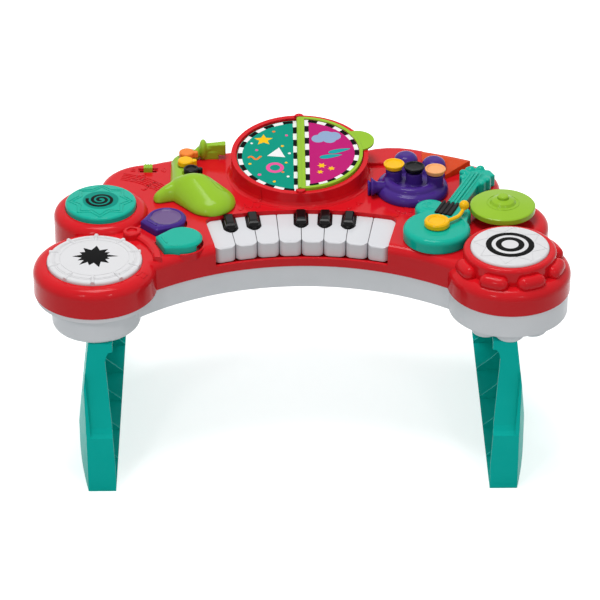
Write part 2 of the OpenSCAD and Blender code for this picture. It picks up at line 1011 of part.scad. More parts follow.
module key_rail() {
    color("#3c3f44")
        difference() {
            union() {
                translate([0, 0, bed_z])
                    linear_extrude(2.5)
                        bed_plan(key_back_r + 1, key_back_r + bed_depth - 1, -3);
                for (k = [0 : key_n - 1])
                    for (s = [-1, 1])
                        at_key_pivot(k)
                            translate([s * (knuckle_w / 2 + 0.3 + ear_t / 2), 0, (bed_z - pivot_z) / 2 + 1.6])
                                cube([ear_t, 7, pivot_z - bed_z + 3.2], center = true);
            }
            for (k = [0 : key_n - 1])
                at_key_pivot(k)
                    rotate([0, 90, 0])
                        cylinder(r = pin_r + 0.02, h = 30, center = true);
        }
}

// Frame at the pivot of white key k
module at_key_pivot(k) {
    a = (k - (key_n - 1) / 2) * key_pitch;
    at_fan(a)
        translate([0, fan_reach(a, key_back_r) + tail_len, pivot_z])
            children();
}

module key_pins() {
    color("#b8bcc2")
        for (k = [0 : key_n - 1])
            at_key_pivot(k)
                rotate([0, 90, 0])
                    cylinder(r = pin_r, h = knuckle_w + 2 * ear_t + 1, center = true);
}

// Silicone dome under the post of each white key
module key_domes() {
    color("#8d9298")
        for (k = [0 : key_n - 1]) {
            a = (k - (key_n - 1) / 2) * key_pitch;
            at_fan(a)
                translate([0, fan_reach(a, key_front_r) + 16, bed_z])
                    cylinder(r1 = 4.5, r2 = 3, h = 1.2);
        }
}

// ---------- pads ----------

// Domed pad with a skirt and a stem; its top edge stands rise above the rim of its well
module pad(r, rise, crown) {
    skirt = 5;
    roof = 2.4;
    difference() {
        union() {
            translate([0, 0, -skirt])
                rotate_extrude()
                    fillet_half(r, skirt + rise, 3);
            translate([0, 0, rise - 0.01])
                pad_crown(r - 4, crown);
        }
        translate([0, 0, -skirt - 1])
            difference() {
                cylinder(r = r - 2.2, h = skirt + rise + 1 - roof);
                cylinder(r = stem_r, h = 30);
            }
    }
    translate([0, 0, -well_d - wall - 6])
        cylinder(r = stem_r, h = well_d + wall + 6 + rise - 1);
}

// Low spherical crown on a pad of radius r
module pad_crown(r, h) {
    crown_r = (r * r + h * h) / (2 * h);
    rotate_extrude()
        intersection() {
            translate([0, h - crown_r])
                circle(r = crown_r, $fn = 8 * wide_fn);
            translate([0, -1])
                square([r + 1, h + 2]);
        }
}

module drum_pad() {
    color("#eceae6")
        translate([-lobe_x, lobe_y, deck_z]) {
            pad(drum_r, 4, 3);
            for (a = [18 : 36 : 342])
                rotate([0, 0, a])
                    tuning_rib();
        }
}

// Raised rib across the edge of the big drum, tapered at its inner end
module tuning_rib() {
    translate([drum_r - 14, 0, 4.4])
        rotate([0, 97, 0])
            rotate_extrude()
                polygon([[0, 0], [1, 0], [2.4, 3], [2.4, 14.2], [0, 14.2]]);
}

module small_drum_pad() {
    color("#12b09b")
        translate([-rear_x, left_rear_y, rear_deck_z])
            pad(small_drum_r, 7, 2);
}

module tambourine_pad() {
    color("#eceae6")
        translate([lobe_x, lobe_y, deck_z + 14])
            pad(tambourine_r, 3, 1.5);
}

module cymbal() {
    color("#96c93d")
        translate([cymbal_x, cymbal_y, deck_z + cymbal_lift]) {
            rotate_extrude()
                polygon([
                    [0, 2], [cymbal_r - 3, 2], [cymbal_r - 3, 0], [cymbal_r, 0], [cymbal_r, 5.5],
                    [cymbal_r - 1.5, 6.5], [15, 9.5], [13, 12.5], [8, 14.5], [0, 15]
                ]);
            translate([0, 0, 14])
                round_disc(6.5, 0, 4.5, 2);
            translate([0, 0, -cymbal_lift - 12])
                cylinder(r = stem_r, h = cymbal_lift + 15);
        }
}

// Silicone dome rings under the pads
module pad_domes() {
    color("#8d9298") {
        each_pad_well()
            translate([0, 0, wall])
                difference() {
                    cylinder(r1 = 16, r2 = 13, h = 3.4);
                    translate([0, 0, -1])
                        cylinder(r = stem_r + 2, h = 8);
                }
    }
}

// ---------- castanets ----------

// Pad hinged at its straight end
module castanet(x, y, turn, dish) {
    translate([x, y, 0])
        rotate([0, 0, turn])
            difference() {
                union() {
                    translate([0, 0, deck_z - 4])
                        linear_extrude(12)
                            castanet_plan(0);
                    translate([0, 0, deck_z + 8])
                        linear_extrude(2)
                            castanet_plan(-2);
                }
                translate([4, 0, castanet_pin_z])
                    rotate([90, 0, 0])
                        cylinder(r = pin_r + pin_play, h = 60, center = true);
                translate([9, 0, deck_z - 5])
                    linear_extrude(10)
                        intersection() {
                            castanet_plan(-2.2);
                            square([200, 200], center = true);
                        }
                // Groove across the neck
                translate([5, -9, deck_z + 9])
                    cube([2, 18, 3]);
                if (dish > 0)
                    translate([castanet_len - castanet_r, 0, deck_z + 10 - dish])
                        cylinder(r1 = castanet_r - 8, r2 = castanet_r - 4.5, h = dish + 0.1);
            }
}

module castanet_purple() {
    color("#4b2a86")
        castanet(purple_x, purple_y, purple_turn, 2.5);
}

module castanet_teal() {
    color("#12b09b")
        castanet(teal_x, teal_y, teal_turn, 0);
}

module castanet_pins() {
    color("#b8bcc2")
        for (p = [[purple_x, purple_y, purple_turn], [teal_x, teal_y, teal_turn]])
            translate([p[0], p[1], castanet_pin_z])
                rotate([0, 0, p[2]])
                    translate([4, 0, 0])
                        rotate([90, 0, 0])
                            cylinder(r = pin_r, h = castanet_pin_len - 1, center = true);
}

// ---------- book ----------

// Half disc on the side s of the spine
module half_disc(r, s, clear) {
    intersection() {
        circle(r = r);
        translate([s > 0 ? clear : -r - clear, -r])
            square([r, 2 * r]);
    }
}

module book_card(s) {
    color(s < 0 ? "#00a08f" : "#3a3f45")
        at_book()
            translate([0, 0, -bed_drop])
                linear_extrude(card_t)
                    half_disc(card_r, s, 2.4);
}

module page_frame() {
    color("#96c93d")
        at_book() {
            difference() {
                union() {
                    translate([0, 0, spine_z - page_t / 2])
                        linear_extrude(page_t)
                            half_disc(page_r, 1, 0);
                    translate([0, 0, spine_z - 0.2])
                        linear_extrude(2)
                            intersection() {
                                translate([page_r - 6, 24])
                                    circle(r = 20);
                                translate([0, -page_r])
                                    square([120, 2 * page_r]);
                            }
                }
                translate([0, 0, spine_z - page_t])
                    linear_extrude(2 * page_t)
                        half_disc(page_r - 4, 1, 6);
            }
            translate([0, 0, spine_z])
                rotate([90, 0, 0]) {
                    cylinder(r = spine_r, h = 2 * page_r - 2, center = true);
                    cylinder(r = book_pin_r, h = 2 * turret_r - 6, center = true);
                }
        }
}

module page_card() {
    color("#c2187a")
        at_book()
            translate([0, 0, spine_z - 1])
                linear_extrude(2)
                    half_disc(page_r - 4, 1, 6);
}

// ---------- guitar ----------

// Frame at the guitar's lower bout, with y along the neck
module at_guitar() {
    translate([guitar_x, guitar_y, deck_z])
        rotate([0, 0, -guitar_turn])
            children();
}

module guitar_body() {
    color("#12b09b")
        difference() {
            at_guitar() {
                round_disc(guitar_r, 0, guitar_h, 6);
                translate([-22, 40, 0])
                    round_disc(18, 0, guitar_h, 5);
                translate([10, 42, 0])
                    round_disc(15, 0, guitar_h, 5);
                linear_extrude(guitar_h - 1)
                    polygon([[-30, 10], [30, 10], [23, 46], [-30, 46]]);
                translate([-9, 40, 0])
                    cube([20, 74, guitar_h - 1]);
                guitar_head();
                guitar_strings();
            }
            at_guitar()
                translate([0, 0, -1])
                    cylinder(r = 5 + pin_play, h = guitar_h + 4);
            at_guitar()
                translate([0, 0, -1])
                    cylinder(r = guitar_r - 4, h = guitar_h - 3);
        }
    color("#12b09b")
        at_guitar()
            difference() {
                cylinder(r = 8, h = guitar_h - 2);
                translate([0, 0, -1])
                    cylinder(r = 5 + pin_play, h = guitar_h + 2);
            }
}

// Head with three tuning pegs on the left and a flare to the right
module guitar_head() {
    linear_extrude(guitar_h - 1)
        polygon([
            [-9, 106], [-12, 115], [-13, 140], [-6, 146], [4, 145], [12, 147], [20, 147],
            [23, 142], [20, 136], [16, 131], [14, 122], [11.5, 114], [11, 106]
        ]);
    for (i = [0 : 2])
        translate([-11, 118.6 + 9.8 * i, 0])
            round_disc(4.6, 0, guitar_h + 1, 1.5);
    for (i = [0 : 1])
        translate([12.6 + 3 * i, 117 + 10.5 * i, 0])
            round_disc(4.2, 0, guitar_h, 1.5);
}

// Three moulded strings along the neck, and a crescent on the left shoulder
module guitar_strings() {
    for (i = [-1 : 1])
        translate([1 + i * 5.5 - 1.7, 44, guitar_h - 2])
            cube([3.4, 90, 2.6]);
    translate([-24, 38, guitar_h - 2])
        difference() {
            cylinder(r = 7, h = 2.8);
            translate([2.5, 1.5, -1])
                cylinder(r = 5.6, h = 6);
        }
}

module guitar_pickup() {
    color("#15161a")
        at_guitar()
            translate([1, 34, guitar_h]) {
                translate([-10, -9, 0])
                    cube([20, 18, 1.2]);
                for (i = [-1 : 1])
                    translate([i * 5.5 - 1.6, -9, 1])
                        cube([3.2, 18, 1.4]);
            }
}

// Round knob with a whammy lever that turns on the guitar
module guitar_strummer() {
    base = guitar_h + 0.3;
    color("#f7c21a")
        at_guitar() {
            difference() {
                round_disc(13, base, base + 8, 2);
                translate([0, 0, base + 6])
                    cylinder(r1 = 7, r2 = 9, h = 2.1);
            }
            translate([0, 0, 1])
                cylinder(r = 5, h = base + 2);
            strummer_arm(base + 3);
        }
}

// Bent lever with a ball at its end
module strummer_arm(z) {
    elbow = [19, 20];
    ball = [12, 48];
    translate([0, 0, z]) {
        linear_extrude(4)
            union() {
                hull() {
                    translate([9, 8])
                        circle(r = 2.5);
                    translate(elbow)
                        circle(r = 2.5);
                }
                hull() {
                    translate(elbow)
                        circle(r = 2.5);
                    translate(ball)
                        circle(r = 2.5);
                }
            }
        translate([ball[0], ball[1], 4])
            sphere(r = 6);
    }
}

// ---------- horn ----------

valve_places = [[-21, 4], [2, -3], [26, -9]];
horn_r = 42;
horn_ear_r = 14;
horn_ears = [[-5, 52], [27, 40]];
horn_top = deck_z + horn_h;
column_top = deck_z + 26;

module horn_body() {
    color("#5b2d91")
        difference() {
            translate([horn_x, horn_y, 0]) {
                round_disc(horn_r, deck_z, horn_top, 9);
                translate([0, 0, horn_top - 1])
                    rotate_extrude()
                        translate([27, 0])
                            circle(r = 7);
                for (p = horn_ears)
                    translate([p[0], p[1], 0])
                        round_disc(horn_ear_r, deck_z, horn_top + 8, 9);
                translate([0, 0, deck_z])
                    linear_extrude(horn_h - 2)
                        horn_waist(0);
                translate([-36, -4, deck_z + 5])
                    rotate([0, -90, 0])
                        rotate_extrude()
                            polygon([[0, 0], [6.5, 0], [5.2, 4], [5.6, 8], [7.2, 11.5], [10, 14], [10, 15.5], [0, 15.5]]);
                for (p = valve_places)
                    translate([p[0], p[1], deck_z])
                        cylinder(r = valve_r, h = column_top - deck_z);
            }
            for (p = valve_places)
                translate([horn_x + p[0], horn_y + p[1], deck_z + 4])
                    cylinder(r = 5 + pin_play, h = 60);
            translate([horn_x, horn_y, deck_z - 20])
                linear_extrude(20)
                    square(200, center = true);
        }
}

// Plan of the horn grown by d
module horn_plan(d) {
    circle(r = horn_r + d);
    for (p = horn_ears)
        translate(p)
            circle(r = horn_ear_r + d);
    horn_waist(d);
}

// Plan of the piece between the horn's body and its ears, grown by d
module horn_waist(d) {
    polygon([[-20, 20], [39, 20], [39, 38], [27 + d, 40 + d], [-5, 52 + d], [-20, 52]]);
}

module valve_cap(i) {
    p = valve_places[i];
    color(["#f7c21a", "#15161a", "#f6a173"][i])
        translate([horn_x + p[0], horn_y + p[1], 0])
            difference() {
                union() {
                    round_disc(valve_r + 1.6, column_top - 2, column_top + 8, 1.5);
                    translate([0, 0, column_top - 16])
                        cylinder(r = 5, h = 22);
                }
                translate([0, 0, column_top - 3])
                    difference() {
                        cylinder(r = valve_r + gap, h = 3 + valve_travel + 0.4);
                        cylinder(r = 5, h = 30);
                    }
                translate([0, 0, column_top + 6])
                    cylinder(r1 = valve_r - 2.5, r2 = valve_r - 0.5, h = 2.1);
            }
}

// ---------- sax ----------

sax_keys = [[-24, 95], [-25, 75], [-18, 55]];
neck_r = 15;
seat_h = 9.6;

module sax_bell() {
    color("#96c93d")
        intersection() {
            translate([sax_x, sax_y, deck_z]) {
                hull() {
                    bell_swell([4.6, 0.8], [29.4, 31.5, 18.7]);
                    bell_swell([-14.4, 19.9], [31.3, 20.7, 28.5]);
                }
                hull() {
                    bell_swell([-14.4, 19.9], [31.3, 20.7, 28.5]);
                    bell_swell([-32.2, 23.2], [13.4, 14.1, 22]);
                }
                hull() {
                    bell_swell([-32.2, 23.2], [13.4, 14.1, 22]);
                    bell_swell([-54.3, 8.9], [6.9, 7.7, 7.6]);
                }
            }
            translate([sax_x, sax_y, deck_z + 25])
                cube([240, 200, 50], center = true);
        }
}

// One swelling of the bell at place p with half sizes r
module bell_swell(p, r) {
    translate(p)
        scale(r / 10)
            sphere(r = 10, $fn = soft_fn);
}

// Tube behind the bell with seats for the keys, and the mouthpiece at its end
module sax_neck() {
    color("#96c93d")
        difference() {
            translate([sax_x, sax_y, 0]) {
                translate([-28, 34, deck_z - 3])
                    rotate([-90, 0, 0])
                        cylinder(r = neck_r, h = 60);
                translate([-28, 94, deck_z - 3])
                    sphere(r = neck_r + 0.4);
                translate([-20, 107, deck_z + 8])
                    rotate([0, 90, -14])
                        rotate_extrude()
                            polygon([
                                [0, 0], [6, 0], [5.5, 12], [9, 13], [9.6, 14.5], [9.6, 18.5],
                                [9, 20], [5, 21], [4.6, 27], [0, 27]
                            ]);
                translate([-20, 107, deck_z])
                    rotate([0, 0, -14])
                        linear_extrude(12)
                            polygon([[25, -4.6], [40, -8], [40, 8], [25, 4.6]]);
            }
            translate([sax_x, sax_y, deck_z - 1])
                linear_extrude(60)
                    offset(r = 0.4)
                        hull() {
                            translate([-14.4, 19.9])
                                scale([3.13, 2.07])
                                    circle(r = 10);
                            translate([-32.2, 23.2])
                                circle(r = 14.2);
                        }
            for (p = sax_keys)
                translate([sax_x + p[0], sax_y + p[1], 0]) {
                    translate([0, 0, deck_z - 9])
                        cylinder(r = 3 + gap, h = 40);
                    translate([0, 0, deck_z + seat_h])
                        cylinder(r = 10.4, h = 20);
                    translate([0, -5, deck_z + seat_h])
                        cube([13, 9, 20]);
                }
            translate([sax_x, sax_y + 60, deck_z - 25])
                cube([200, 200, 50], center = true);
        }
}

// Round key paddle with a short arm
module sax_key(i) {
    p = sax_keys[i];
    z = deck_z + seat_h + pad_travel;
    color(["#f79a3c", "#f7c21a", "#15161a"][i])
        translate([sax_x + p[0], sax_y + p[1], 0]) {
            difference() {
                round_disc(9, z, z + 6, 2);
                if (i == 2)
                    translate([0, 0, z + 4.6])
                        cylinder(r1 = 5.4, r2 = 6.4, h = 2);
            }
            translate([6, -2.8, z])
                cube([5, 5.6, 4.6]);
            translate([10, 0, 0])
                round_disc(3.2, z - 1, z + 5.6, 1.4);
            translate([0, 0, deck_z - 6])
                cylinder(r = 3, h = z - deck_z + 7);
        }
}

// ---------- window, switch and inner pieces ----------

module light_window() {
    outer_r = back_arc_r - 11;
    inner_r = back_arc_r - 62;
    color("#f0592a")
        difference() {
            translate([0, back_arc_y, 0])
                rotate_extrude($fn = wide_fn)
                    polygon([
                        [inner_r, deck_z], [outer_r, deck_z], [outer_r, deck_z + 11],
                        [outer_r - 4, deck_z + 11], [inner_r, deck_z + 2]
                    ]);
            translate([horn_x, horn_y, deck_z - 1])
                linear_extrude(40)
                    horn_plan(gap);
            translate([0, 0, deck_z - 1])
                linear_extrude(40)
                    difference() {
                        square(4 * body_w, center = true);
                        polygon([
                            [horn_x + 14, 50], [horn_x + 14, 200], [horn_x + 76, 200], [horn_x + 76, 98],
                            [horn_x + 59, 90], [horn_x + 50, 62], [horn_x + 47, 50]
                        ]);
                    }
        }
}

module volume_switch() {
    color("#7ab82f")
        translate([switch_x, switch_y, 0]) {
            translate([-5, -4.6, deck_z - 1.6])
                cube([10, 9.2, 7]);
            for (i = [-1 : 1])
                translate([i * 3 - 0.7, -4.6, deck_z + 5])
                    cube([1.4, 9.2, 1.2]);
            translate([-4, -2.6, deck_z - 12])
                cube([8, 5.2, 12]);
        }
}

module circuit_board() {
    color("#1f6b3a")
        translate([-60, battery_y - 45, tray_z + battery_h + 4])
            cube([120, 90, 1.6]);
}

module speaker() {
    color("#2a2c30")
        translate([speaker_x, speaker_y, tray_z + wall]) {
            cylinder(r = 28, h = 3);
            translate([0, 0, 3])
                cylinder(r1 = 26, r2 = 14, h = 7);
            translate([0, 0, 10])
                cylinder(r = 14, h = 7);
        }
}

module battery_door() {
    color("#c9ced3")
        difference() {
            union() {
                translate([-battery_w / 2 + gap, battery_y - battery_l / 2 + gap, tray_z])
                    cube([battery_w - 2 * gap, battery_l - 2 * gap, 2.5]);
                for (s = [-1, 1])
                    translate([s * 29.5 - 1, battery_y + 20, tray_z + 2])
                        cube([2, 9, 5]);
            }
            translate([0, battery_y + battery_l / 2 - 5.5, tray_z - 1])
                cylinder(r = 1.8, h = 6);
            for (i = [-2 : 2])
                translate([-12, battery_y + i * 4 - 0.6, tray_z - 0.1])
                    cube([24, 1.2, 0.7]);
        }
}

module battery_screw() {
    color("#b8bcc2")
        translate([0, battery_y + battery_l / 2 - 5.5, tray_z]) {
            translate([0, 0, -1.4])
                cylinder(r = 3, h = 1.4);
            cylinder(r = 1.5, h = 8);
        }
}

module batteries() {
    color("#8a8f96")
        for (i = [-1 : 1])
            translate([i * 20, battery_y - battery_l / 2 + 0.5, tray_z + 2.5 + 7.3])
                rotate([-90, 0, 0]) {
                    cylinder(r = 7.1, h = 49);
                    translate([0, 0, 49])
                        cylinder(r = 2.6, h = 1.4);
                }
}

module shell_screws() {
    color("#b8bcc2")
        for (p = screw_places)
            translate([p[0], p[1], tray_z - 1.6]) {
                cylinder(r = 3.2, h = 1.6);
                cylinder(r = screw_r - 0.02, h = 15);
            }
}

top_shell();
base_tray();
leg(-1);  // leg_left
leg(1);  // leg_right
white_key(0);  // white_key_1
white_key(1);  // white_key_2
white_key(2);  // white_key_3
white_key(3);  // white_key_4
white_key(4);  // white_key_5
white_key(5);  // white_key_6
white_key(6);  // white_key_7
white_key(7);  // white_key_8
black_keys();
key_rail();
key_pins();
key_domes();
drum_pad();
small_drum_pad();
tambourine_pad();
cymbal();
pad_domes();
castanet_purple();
castanet_teal();
castanet_pins();
book_card(-1);  // book_card_left
book_card(1);  // book_card_right
page_frame();
page_card();
guitar_body();
guitar_pickup();
guitar_strummer();
horn_body();
valve_cap(0);  // valve_cap_1
valve_cap(1);  // valve_cap_2
valve_cap(2);  // valve_cap_3
sax_bell();
sax_neck();
sax_key(0);  // sax_key_1
sax_key(1);  // sax_key_2
sax_key(2);  // sax_key_3
light_window();
volume_switch();
circuit_board();
speaker();
battery_door();
battery_screw();
batteries();
shell_screws();
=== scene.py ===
"""Looks of a toddler's musical activity table: finishes, prints, embossing and light."""

import logging
import math
from dataclasses import dataclass, field
from enum import Enum
from typing import Any, Protocol, Sequence

import bmesh
import bpy
from mathutils import Matrix, Vector
from mathutils.bvhtree import BVHTree
from mathutils.geometry import tessellate_polygon


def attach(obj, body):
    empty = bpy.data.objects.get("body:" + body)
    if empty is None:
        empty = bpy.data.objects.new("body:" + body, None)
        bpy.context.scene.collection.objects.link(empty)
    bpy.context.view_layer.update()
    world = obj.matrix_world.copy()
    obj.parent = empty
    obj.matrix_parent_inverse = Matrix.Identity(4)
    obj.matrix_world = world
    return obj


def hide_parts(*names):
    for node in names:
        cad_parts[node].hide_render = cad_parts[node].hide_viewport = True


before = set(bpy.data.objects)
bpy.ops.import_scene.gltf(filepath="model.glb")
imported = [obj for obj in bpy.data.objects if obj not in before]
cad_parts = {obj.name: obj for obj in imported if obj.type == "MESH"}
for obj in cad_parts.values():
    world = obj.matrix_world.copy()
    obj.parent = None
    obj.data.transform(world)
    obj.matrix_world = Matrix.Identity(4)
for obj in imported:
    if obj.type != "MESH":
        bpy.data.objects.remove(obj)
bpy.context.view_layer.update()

logging.basicConfig(level=logging.INFO, format="%(name)s: %(message)s")
log = logging.getLogger("music_table")

MM = 0.001
# Depth by which a print or an embossing is sunk into its ground
SINK_MM = 0.1
# Faces that turn by less are one face, and edges that turn by more are crisp
FLAT_DEG = 1.0
CRISP_DEG = 28.0
PRINT_CRISP_DEG = 40.0
TUBE_SIDES = 24
Point = tuple[float, float]
Triple = tuple[float, float, float]
BMesh = bmesh.types.BMesh
Node = bpy.types.Node
Tree = bpy.types.NodeTree


# ---------------------------------------------------------------- colours and nodes


def linear(hex_colour: str) -> tuple[float, float, float, float]:
    """Turn an sRGB hex colour into linear light.

    Args:
        hex_colour: six hex digits after a hash sign.

    Returns:
        Red, green, blue and a full alpha.
    """
    levels = [int(hex_colour[i : i + 2], 16) / 255 for i in (1, 3, 5)]
    bent = [v / 12.92 if v <= 0.04045 else ((v + 0.055) / 1.055) ** 2.4 for v in levels]
    return bent[0], bent[1], bent[2], 1.0


def tinted(colour: Sequence[float], gain: float, lift: float = 0.0) -> tuple[float, ...]:
    """Return a linear colour times gain, plus lift, with a full alpha."""
    return tuple(min(1.0, c * gain + lift) for c in colour[:3]) + (1.0,)


def add_node(tree: Tree, kind: str, inputs: dict[Any, Any] | None = None, **settings: Any) -> Node:
    """Add one shader node with its settings, values and links.

    Args:
        tree: the node tree that takes the node.
        kind: Blender's identifier of the node, without its leading ShaderNode.
        inputs: a value, or a (node, output name) pair to link, for each input.
        settings: properties of the node itself.

    Returns:
        The new node.
    """
    node = tree.nodes.new("ShaderNode" + kind)
    for key, value in settings.items():
        setattr(node, key, value)
    for key, value in (inputs or {}).items():
        if isinstance(value, tuple) and isinstance(value[0], Node):
            tree.links.new(value[0].outputs[value[1]], node.inputs[key])
        else:
            node.inputs[key].default_value = value
    return node


def cleared_tree(owner: bpy.types.Material | bpy.types.World) -> Tree:
    """Switch a material or world to nodes and empty its tree.

    Args:
        owner: the material or world.

    Returns:
        Its node tree.
    """
    owner.use_nodes = True
    owner.node_tree.nodes.clear()
    return owner.node_tree


def per_mm(size_mm: float) -> float:
    """Scale of a texture in metres whose features are size_mm wide."""
    return 1.0 / (size_mm * MM)


class Gloss(Enum):
    """How a moulded surface left its tool: its roughness and the depth of its grain in mm."""

    POLISHED = (0.13, 0.004)
    SATIN = (0.36, 0.012)
    SPARKED = (0.55, 0.03)


@dataclass(frozen=True)
class Finish:
    """A surface finish, made into a material the first time that it is used."""

    name: str

    def shader(self, tree: Tree, place: tuple[Node, str]) -> Node:
        """Wire the surface; each kind of finish has its own."""
        raise NotImplementedError

    def material(self) -> bpy.types.Material:
        """Build the node material.

        Returns:
            The material, made once for each finish.
        """
        made = bpy.data.materials.get(self.name)
        if not made:
            made = bpy.data.materials.new(self.name)
            tree = cleared_tree(made)
            surface = self.shader(tree, (add_node(tree, "TexCoord"), "Object"))
            add_node(tree, "OutputMaterial", {"Surface": (surface, "BSDF")})
        return made


@dataclass(frozen=True)
class MouldedAbs(Finish):
    """Injection-moulded ABS: even pigment, a soft sheen and the faint orange peel of its tool."""

    pigment: str
    gloss: Gloss = Gloss.POLISHED
    grain_mm: float = 1.6
    mottle: float = 0.05
    edge_mm: float = 0.7
    shine: float = 0.12
    glow_through: float = 0.0

    def shader(self, tree: Tree, place: tuple[Node, str]) -> Node:
        """Wire pigment, wear and grain into the plastic.

        Args:
            tree: the material's tree.
            place: output that gives places on the piece.

        Returns:
            The surface shader.
        """
        rough, depth = self.gloss.value
        base = linear(self.pigment)
        # Flow of the pigment in the melt, seen as a very slow drift of the colour
        slow = {"Vector": place, "Scale": per_mm(38), "Detail": 3.0, "Roughness": 0.6}
        flow = add_node(tree, "TexNoise", slow)
        dark, light = tinted(base, 1 - self.mottle), tinted(base, 1 + self.mottle, 0.004)
        drift = add_node(tree, "Mix", {0: (flow, "Fac"), 6: dark, 7: light}, data_type="RGBA")
        # Fingers and cloths leave patches that shine a little more or less
        patches = {"Vector": place, "Scale": per_mm(14), "Detail": 5.0, "Roughness": 0.65}
        handling = add_node(tree, "TexNoise", patches)
        levels = {0: (handling, "Fac"), 1: 0.3, 2: 0.7, 3: rough * 0.85, 4: rough * 1.2}
        sheen = add_node(tree, "MapRange", levels)
        # Orange peel and spark grain of the steel tool, over slightly rounded edges
        grain = add_node(tree, "TexNoise", {"Vector": place, "Scale": per_mm(self.grain_mm), "Detail": 2.0})
        soft = add_node(tree, "Bevel", {"Radius": self.edge_mm * MM}, samples=4)
        relief = {"Strength": 0.6, "Distance": depth * MM, "Height": (grain, "Fac")}
        peel = add_node(tree, "Bump", {**relief, "Normal": (soft, "Normal")})
        body = {
            "Base Color": (drift, 2),
            "Roughness": (sheen, "Result"),
            "Normal": (peel, "Normal"),
            "IOR": 1.53,
            "Specular IOR Level": self.shine,
            "Transmission Weight": self.glow_through,
        }
        return add_node(tree, "BsdfPrincipled", body)


@dataclass(frozen=True)
class PadInk(Finish):
    """Screen-printed ink on plastic or card: flat colour with a thin, slightly broken film."""

    pigment: str
    roughness: float = 0.38
    shine: float = 0.04

    def shader(self, tree: Tree, place: tuple[Node, str]) -> Node:
        """Wire the film of ink.

        Args:
            tree: the material's tree.
            place: output that gives places on the piece.

        Returns:
            The surface shader.
        """
        # The mesh of the screen leaves a dot of thicker ink about every millimetre
        film = add_node(tree, "TexVoronoi", {"Vector": place, "Scale": per_mm(1.1)})
        base = linear(self.pigment)
        tones = {0: (film, "Distance"), 6: base, 7: tinted(base, 1.1, 0.002)}
        tone = add_node(tree, "Mix", tones, data_type="RGBA")
        levels = {0: (film, "Distance"), 3: self.roughness * 0.9, 4: self.roughness * 1.15}
        sheen = add_node(tree, "MapRange", levels)
        body = {"Base Color": (tone, 2), "Roughness": (sheen, "Result"), "IOR": 1.48}
        return add_node(tree, "BsdfPrincipled", {**body, "Specular IOR Level": self.shine})


@dataclass(frozen=True)
class DrawnSteel(Finish):
    """Drawn and zinc-plated steel of pins and screws: fine lines along the wire, a grey shine."""

    name: str = "drawn_zinc_plated_steel"
    colour: str = "#b9bcc0"

    def shader(self, tree: Tree, place: tuple[Node, str]) -> Node:
        """Wire the drawn metal.

        Args:
            tree: the material's tree.
            place: output that gives places on the piece.

        Returns:
            The surface shader.
        """
        # Fine lines that the drawing die left along the wire
        lines = add_node(tree, "TexNoise", {"Vector": place, "Scale": per_mm(0.6), "Detail": 3.0})
        sheen = add_node(tree, "MapRange", {0: (lines, "Fac"), 3: 0.24, 4: 0.42})
        body = {"Base Color": linear(self.colour), "Metallic": 1.0, "Roughness": (sheen, "Result")}
        return add_node(tree, "BsdfPrincipled", body)


RED = MouldedAbs("red_polished_abs", "#d9141f")
TRAY_GREY = MouldedAbs("pale_grey_satin_abs", "#ecf0f4", Gloss.SATIN)
LEG_TEAL = MouldedAbs("teal_satin_polypropylene", "#00c4b8", Gloss.SATIN, shine=0.06)
KEY_WHITE = MouldedAbs("white_polished_abs", "#dcdde1", mottle=0.02)
BLACK = MouldedAbs("black_polished_abs", "#08080a", mottle=0.1)
PAD_WHITE = MouldedAbs("white_satin_abs", "#dfdfe1", Gloss.SATIN, mottle=0.02)
TEAL = MouldedAbs("turquoise_polished_abs", "#06b39c")
LIME = MouldedAbs("lime_polished_abs", "#96c32c")
PURPLE = MouldedAbs("violet_polished_abs", "#452685")
YELLOW = MouldedAbs("yellow_polished_abs", "#fdc006")
ORANGE = MouldedAbs("orange_polished_abs", "#f58a32")
PEACH = MouldedAbs("peach_polished_abs", "#fcb072")
WINDOW = MouldedAbs("orange_clear_abs", "#e44c1a", glow_through=0.1)
DISH = MouldedAbs("milky_violet_abs", "#6f5689", mottle=0.08)
CARD_TEAL = MouldedAbs("teal_laminated_card", "#00967f", Gloss.SATIN, shine=0.04)
CARD_MAGENTA = MouldedAbs("magenta_laminated_card", "#bd1b73", Gloss.SATIN, shine=0.04)
CARD_DARK = MouldedAbs("grey_laminated_card", "#2f6f8a", Gloss.SATIN, shine=0.04)
SILICONE = MouldedAbs("grey_moulded_silicone", "#8d9298", Gloss.SPARKED)
INNER = MouldedAbs("dark_recycled_abs", "#3c3f44", Gloss.SPARKED)
BOARD = MouldedAbs("green_lacquered_board", "#1f6b3a", Gloss.SATIN, grain_mm=3.0, mottle=0.15)
SPEAKER = MouldedAbs("black_pressed_paper", "#2a2c30", Gloss.SPARKED)
CELL = MouldedAbs("grey_shrink_sleeve", "#8a8f96")
STEEL = DrawnSteel()
INK_BLACK = PadInk("black_screen_ink", "#060607")
INK_WHITE = PadInk("white_screen_ink", "#ececec")
INK_YELLOW = PadInk("yellow_offset_ink", "#f6c21c")
INK_GREEN = PadInk("green_offset_ink", "#4fae47")
INK_BLUE = PadInk("grey_blue_offset_ink", "#8fa6c8")
INK_LEAF = PadInk("blue_green_offset_ink", "#18a0a0")
INK_ORANGE = PadInk("orange_offset_ink", "#ef7d2b")
INK_PINK = PadInk("pink_offset_ink", "#e7559c")
INK_DEEP_TEAL = PadInk("deep_teal_screen_ink", "#0a8c7c")


# ---------------------------------------------------------------- flat drawings and stamping


def around(x: float, y: float, radius: float, angle: float) -> Point:
    """Return the point at a radius and an angle in radians about a centre."""
    return x + radius * math.cos(angle), y + radius * math.sin(angle)


def swung(x: float, y: float, origin: Point, degrees: float) -> Point:
    """Return a point turned by some degrees and then moved to an origin."""
    c, s = math.cos(math.radians(degrees)), math.sin(math.radians(degrees))
    return origin[0] + x * c - y * s, origin[1] + x * s + y * c


